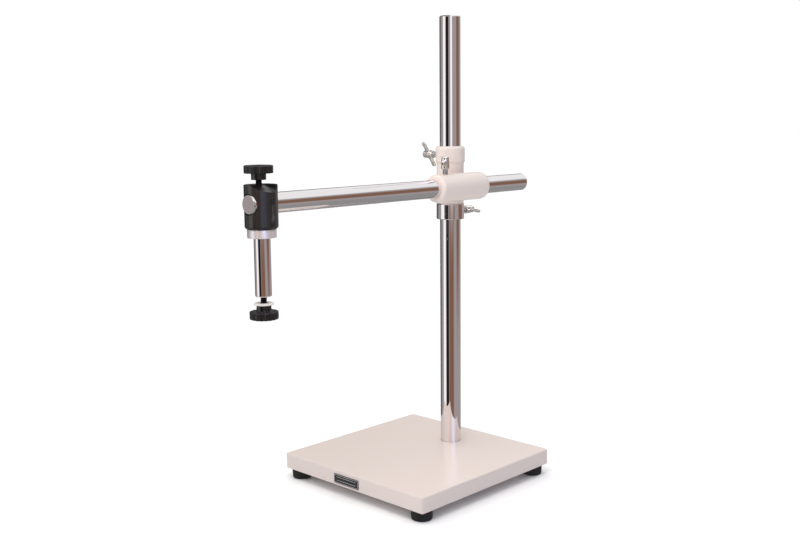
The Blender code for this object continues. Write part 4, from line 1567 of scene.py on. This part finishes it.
def add_floor():
    """A wide pale floor under the feet. It doesn't show in the metal, where the
    studio's own floor does."""
    shape = bmesh.new()
    bmesh.ops.create_circle(
        shape,
        cap_ends=True,
        segments=96,
        radius=12.0,
        matrix=Matrix.Translation((0, 0, span("foot_front_left", 2)[0])),
    )
    floor = bpy.data.objects.new("floor", mesh_from(shape, "floor"))
    bpy.context.scene.collection.objects.link(floor)
    material, tree, shader = new_material("pale_paper_floor")
    set_shader(shader, Base_Color=hex_colour("FFFFFF"), Roughness=1.0, Specular_IOR_Level=0.0)
    floor.data.materials.append(material)
    floor.visible_glossy = False


def add_light(name, place, target, size, power, code):
    light = bpy.data.lights.new(name, "AREA")
    light.shape = "SQUARE"
    light.size = size
    light.energy = power
    light.color = hex_colour(code)[:3]
    obj = bpy.data.objects.new(name, light)
    bpy.context.scene.collection.objects.link(obj)
    direction = (Vector(target) - Vector(place)).to_track_quat("-Z", "Y")
    obj.matrix_world = Matrix.Translation(place) @ direction.to_matrix().to_4x4()
    obj.visible_glossy = False
    obj.visible_camera = False


def ramp(tree, factor, stops):
    """A colour ramp from (position, hex colour) stops."""
    node = add_node(tree, "ShaderNodeValToRGB", {"Fac": factor})
    elements = node.color_ramp.elements
    while len(elements) < len(stops):
        elements.new(0.5)
    for element, (position, code) in zip(elements, stops):
        element.position = position
        element.color = hex_colour(code)
    return node.outputs["Color"]


def smooth_step(tree, value, outside, inside):
    """0 up to one value and 1 from the other, with a smooth run between them."""
    return add_node(
        tree,
        "ShaderNodeMapRange",
        {"Value": value, "From Min": outside, "From Max": inside},
        interpolation_type="SMOOTHSTEP",
    ).outputs[0]


def laid_over(tree, mask, below, code, strength):
    """A plain colour, made brighter by strength, laid over what is below wherever the mask is 1."""
    glow = [strength * STUDIO_GAIN * channel for channel in hex_colour(code)[:3]]
    return add_node(tree, "ShaderNodeMix", {0: mask, 6: below, 7: (*glow, 1.0)}, data_type="RGBA").outputs[2]


# The broad soft light on everything matt
SOFT_LIGHT_FROM = (-0.44, 0.08, 0.9)
SOFT_LIGHT_GAIN = 1.05
SOFT_LIGHT_FLOOR = 0.42
SOFT_LIGHT_TINTS = ((0.42, "9DBCF8"), (0.66, "F4F8FF"), (0.8, "FFFFFF"), (1.0, "FFFCFA"))

# The plain studio that the metal reflects: a floor, walls and a ceiling, and a
# few cards and softboxes that stand in front of them
STUDIO_GAIN = 1.2
STUDIO_FLOOR = "909090"
STUDIO_WALL = "A09898"
STUDIO_CEILING = "F0F0F0"
FLOOR_EDGE = -25
CEILING_EDGE = 25
EDGE_SOFTNESS = 4
WHITE_CARD = "FFFFFF"
BLACK_CARD = "201818"
GREY_CARD = "606060"
WARM_CARD = "806050"
WARM_LIGHT = "FFD8C0"
COOL_LIGHT = "C8C8FF"
# (degrees right of the camera, half its width, lowest and highest edge, colour, strength)
STUDIO_CARDS = (
    (-150, 30, -20, 90, GREY_CARD, 1),
    (-70, 15, -20, 20, WHITE_CARD, 1),
    (-35, 15, -20, 20, BLACK_CARD, 1),
    (10, 10, -5, 20, WHITE_CARD, 1),
    (10, 25, -20, -5, WARM_CARD, 1),
    (90, 20, -10, 15, WARM_CARD, 1),
    (-35, 15, 20, 40, WARM_LIGHT, 4),
    (30, 15, 20, 40, COOL_LIGHT, 6),
)


def soft_light(tree, direction):
    """What lights everything matt: a broad glow from above and a little to the left, cooler
    on the side away from it."""
    toward = add_node(
        tree, "ShaderNodeVectorMath", {0: direction, 1: SOFT_LIGHT_FROM}, operation="DOT_PRODUCT"
    ).outputs["Value"]
    tint = ramp(tree, maths(tree, "ADD", maths(tree, "MULTIPLY", toward, 0.5), 0.5), SOFT_LIGHT_TINTS)
    facing = maths(tree, "MAXIMUM", toward, 0.0)
    strength = maths(tree, "MULTIPLY_ADD", facing, SOFT_LIGHT_GAIN, SOFT_LIGHT_FLOOR)
    return add_node(tree, "ShaderNodeBackground", {"Color": tint, "Strength": strength})


def add_room():
    """A soft even light for everything matt. Polished metal sees a plain studio instead, whose
    cards and softboxes give it its light and dark bands."""
    world = bpy.data.worlds.new("studio")
    bpy.context.scene.world = world
    world.use_nodes = True
    tree = world.node_tree
    tree.nodes.clear()
    place = add_node(tree, "ShaderNodeTexCoord")
    turned_room = add_node(
        tree,
        "ShaderNodeVectorRotate",
        {"Vector": place.outputs["Generated"], "Angle": radians(90 - CAMERA_AZIMUTH)},
        rotation_type="Z_AXIS",
    )
    x, y, z = add_node(tree, "ShaderNodeSeparateXYZ", {0: turned_room.outputs[0]}).outputs
    around = maths(tree, "DEGREES", maths(tree, "ARCTAN2", y, x))
    height = maths(tree, "DEGREES", maths(tree, "ARCSINE", z))
    soft = EDGE_SOFTNESS
    seen = laid_over(tree, 1.0, hex_colour(STUDIO_FLOOR), STUDIO_FLOOR, 1)
    for edge, code in ((FLOOR_EDGE, STUDIO_WALL), (CEILING_EDGE, STUDIO_CEILING)):
        seen = laid_over(tree, smooth_step(tree, height, edge - soft, edge + soft), seen, code, 1)
    for centre, half, low, high, code, strength in STUDIO_CARDS:
        aside = maths(tree, "WRAP", maths(tree, "SUBTRACT", around, centre), 180.0, -180.0)
        across = smooth_step(tree, maths(tree, "ABSOLUTE", aside), half + soft, half - soft)
        above = smooth_step(tree, height, low - soft, low + soft)
        below = smooth_step(tree, height, high + soft, high - soft)
        card = maths(tree, "MULTIPLY", across, maths(tree, "MULTIPLY", above, below))
        seen = laid_over(tree, card, seen, code, strength)
    studio = add_node(tree, "ShaderNodeBackground", {"Color": seen, "Strength": 1.0})
    even = soft_light(tree, place.outputs["Generated"])
    backdrop = add_node(tree, "ShaderNodeBackground", {"Color": hex_colour("FFFFFF"), "Strength": 1.0})
    path = add_node(tree, "ShaderNodeLightPath")
    not_shiny = add_node(
        tree,
        "ShaderNodeMixShader",
        {0: path.outputs["Is Glossy Ray"], 1: even.outputs[0], 2: studio.outputs[0]},
    )
    for_camera = add_node(
        tree,
        "ShaderNodeMixShader",
        {0: path.outputs["Is Camera Ray"], 1: not_shiny.outputs[0], 2: backdrop.outputs[0]},
    )
    add_node(tree, "ShaderNodeOutputWorld", {"Surface": for_camera.outputs[0]})


def make_stage():
    scene = bpy.context.scene
    scene.view_settings.view_transform = "Standard"
    add_camera()
    add_floor()
    add_room()
    add_light("top_light", (0.2, -0.35, 0.78), (0.01, 0.04, 0.4), 0.4, 2.0, "FFF8F4")


# ------------------------------------------------------------------ operators and panel


class BOOMSTAND_OT_base_plate(bpy.types.Operator):
    """Makes the enamelled base plate"""

    bl_idname = "boomstand.base_plate"
    bl_label = "Base plate"
    bl_options = {"REGISTER", "UNDO"}

    def execute(self, context):
        make_base()
        return {"FINISHED"}


class BOOMSTAND_OT_label(bpy.types.Operator):
    """Makes the plain label on the base's front edge"""

    bl_idname = "boomstand.label"
    bl_label = "Label"
    bl_options = {"REGISTER", "UNDO"}

    def execute(self, context):
        make_label()
        return {"FINISHED"}


class BOOMSTAND_OT_feet(bpy.types.Operator):
    """Makes the four rubber feet"""

    bl_idname = "boomstand.feet"
    bl_label = "Feet"
    bl_options = {"REGISTER", "UNDO"}

    def execute(self, context):
        make_feet()
        return {"FINISHED"}


class BOOMSTAND_OT_foot_screws(bpy.types.Operator):
    """Makes the screws that hold the feet"""

    bl_idname = "boomstand.foot_screws"
    bl_label = "Foot screws"
    bl_options = {"REGISTER", "UNDO"}

    def execute(self, context):
        make_foot_screws()
        return {"FINISHED"}


class BOOMSTAND_OT_post(bpy.types.Operator):
    """Makes the chromed post"""

    bl_idname = "boomstand.post"
    bl_label = "Post"
    bl_options = {"REGISTER", "UNDO"}

    def execute(self, context):
        make_post()
        return {"FINISHED"}


class BOOMSTAND_OT_post_fixing(bpy.types.Operator):
    """Makes the bolt and the washer that hold the post"""

    bl_idname = "boomstand.post_fixing"
    bl_label = "Post fixing"
    bl_options = {"REGISTER", "UNDO"}

    def execute(self, context):
        make_post_fixing()
        return {"FINISHED"}


class BOOMSTAND_OT_collar(bpy.types.Operator):
    """Makes the chromed safety collar"""

    bl_idname = "boomstand.collar"
    bl_label = "Safety collar"
    bl_options = {"REGISTER", "UNDO"}

    def execute(self, context):
        make_collar()
        return {"FINISHED"}


class BOOMSTAND_OT_crosshead(bpy.types.Operator):
    """Makes the enamelled crosshead"""

    bl_idname = "boomstand.crosshead"
    bl_label = "Crosshead"
    bl_options = {"REGISTER", "UNDO"}

    def execute(self, context):
        make_crosshead()
        return {"FINISHED"}


class BOOMSTAND_OT_boom(bpy.types.Operator):
    """Makes the chromed boom"""

    bl_idname = "boomstand.boom"
    bl_label = "Boom"
    bl_options = {"REGISTER", "UNDO"}

    def execute(self, context):
        make_boom()
        return {"FINISHED"}


class BOOMSTAND_OT_clamp_pads(bpy.types.Operator):
    """Makes the four brass clamp pads"""

    bl_idname = "boomstand.clamp_pads"
    bl_label = "Clamp pads"
    bl_options = {"REGISTER", "UNDO"}

    def execute(self, context):
        make_clamp_pads()
        return {"FINISHED"}


class BOOMSTAND_OT_clamp_screws(bpy.types.Operator):
    """Makes the three wing screws"""

    bl_idname = "boomstand.clamp_screws"
    bl_label = "Wing screws"
    bl_options = {"REGISTER", "UNDO"}

    def execute(self, context):
        make_clamp_screws()
        return {"FINISHED"}


class BOOMSTAND_OT_head_block(bpy.types.Operator):
    """Makes the anodised head block"""

    bl_idname = "boomstand.head_block"
    bl_label = "Head block"
    bl_options = {"REGISTER", "UNDO"}

    def execute(self, context):
        make_head_block()
        return {"FINISHED"}


class BOOMSTAND_OT_grub_screw(bpy.types.Operator):
    """Makes the head block's grub screw"""

    bl_idname = "boomstand.grub_screw"
    bl_label = "Grub screw"
    bl_options = {"REGISTER", "UNDO"}

    def execute(self, context):
        make_grub_screw()
        return {"FINISHED"}


class BOOMSTAND_OT_bearing_ring(bpy.types.Operator):
    """Makes the turned ring under the head block"""

    bl_idname = "boomstand.bearing_ring"
    bl_label = "Bearing ring"
    bl_options = {"REGISTER", "UNDO"}

    def execute(self, context):
        make_bearing_ring()
        return {"FINISHED"}


class BOOMSTAND_OT_mounting_pin(bpy.types.Operator):
    """Makes the chromed pin that carries the microscope"""

    bl_idname = "boomstand.mounting_pin"
    bl_label = "Mounting pin"
    bl_options = {"REGISTER", "UNDO"}

    def execute(self, context):
        make_mounting_pin()
        return {"FINISHED"}


class BOOMSTAND_OT_nylon_washer(bpy.types.Operator):
    """Makes the washer above the retaining knob"""

    bl_idname = "boomstand.nylon_washer"
    bl_label = "Nylon washer"
    bl_options = {"REGISTER", "UNDO"}

    def execute(self, context):
        make_nylon_washer()
        return {"FINISHED"}


class BOOMSTAND_OT_knobs(bpy.types.Operator):
    """Makes the clamp knob and the retaining knob"""

    bl_idname = "boomstand.knobs"
    bl_label = "Knobs"
    bl_options = {"REGISTER", "UNDO"}

    def execute(self, context):
        make_knobs()
        return {"FINISHED"}


class BOOMSTAND_OT_studs(bpy.types.Operator):
    """Makes the threaded studs of the two knobs"""

    bl_idname = "boomstand.studs"
    bl_label = "Studs"
    bl_options = {"REGISTER", "UNDO"}

    def execute(self, context):
        make_studs()
        return {"FINISHED"}


class BOOMSTAND_OT_stage(bpy.types.Operator):
    """Makes the floor, the room, the lights and the camera"""

    bl_idname = "boomstand.stage"
    bl_label = "Stage"
    bl_options = {"REGISTER", "UNDO"}

    def execute(self, context):
        make_stage()
        return {"FINISHED"}


OPERATORS = (
    BOOMSTAND_OT_base_plate,
    BOOMSTAND_OT_label,
    BOOMSTAND_OT_feet,
    BOOMSTAND_OT_foot_screws,
    BOOMSTAND_OT_post,
    BOOMSTAND_OT_post_fixing,
    BOOMSTAND_OT_collar,
    BOOMSTAND_OT_crosshead,
    BOOMSTAND_OT_boom,
    BOOMSTAND_OT_clamp_pads,
    BOOMSTAND_OT_clamp_screws,
    BOOMSTAND_OT_head_block,
    BOOMSTAND_OT_grub_screw,
    BOOMSTAND_OT_bearing_ring,
    BOOMSTAND_OT_mounting_pin,
    BOOMSTAND_OT_nylon_washer,
    BOOMSTAND_OT_knobs,
    BOOMSTAND_OT_studs,
    BOOMSTAND_OT_stage,
)


class BOOMSTAND_PT_pieces(bpy.types.Panel):
    """Lists the stand's settings and one button for each piece"""

    bl_label = "Microscope boom stand"
    bl_idname = "BOOMSTAND_PT_pieces"
    bl_space_type = "VIEW_3D"
    bl_region_type = "UI"
    bl_category = "Boom stand"

    def draw(self, context):
        layout = self.layout
        for settings in (context.scene.stand_finish, context.scene.stand_detail):
            for name in settings.bl_rna.properties.keys():
                if name not in ("name", "rna_type"):
                    layout.prop(settings, name)
        for operator in OPERATORS:
            layout.operator(operator.bl_idname)


CLASSES = (StandFinish, StandDetail, *OPERATORS, BOOMSTAND_PT_pieces)


def register():
    for cls in CLASSES:
        bpy.utils.register_class(cls)
    bpy.types.Scene.stand_finish = PointerProperty(type=StandFinish)
    bpy.types.Scene.stand_detail = PointerProperty(type=StandDetail)


def unregister():
    del bpy.types.Scene.stand_detail
    del bpy.types.Scene.stand_finish
    for cls in reversed(CLASSES):
        bpy.utils.unregister_class(cls)


def clear_startup_scene():
    for name in ("Cube", "Light", "Camera"):
        obj = bpy.data.objects.get(name)
        if obj:
            bpy.data.objects.remove(obj, do_unlink=True)


def main():
    register()
    clear_startup_scene()
    bpy.ops.boomstand.base_plate()
    bpy.ops.boomstand.label()
    bpy.ops.boomstand.feet()
    bpy.ops.boomstand.foot_screws()
    bpy.ops.boomstand.post()
    bpy.ops.boomstand.post_fixing()
    bpy.ops.boomstand.collar()
    bpy.ops.boomstand.crosshead()
    bpy.ops.boomstand.boom()
    bpy.ops.boomstand.clamp_pads()
    bpy.ops.boomstand.clamp_screws()
    bpy.ops.boomstand.head_block()
    bpy.ops.boomstand.grub_screw()
    bpy.ops.boomstand.bearing_ring()
    bpy.ops.boomstand.mounting_pin()
    bpy.ops.boomstand.nylon_washer()
    bpy.ops.boomstand.knobs()
    bpy.ops.boomstand.studs()
    bpy.ops.boomstand.stage()


if __name__ == "__main__":
    main()
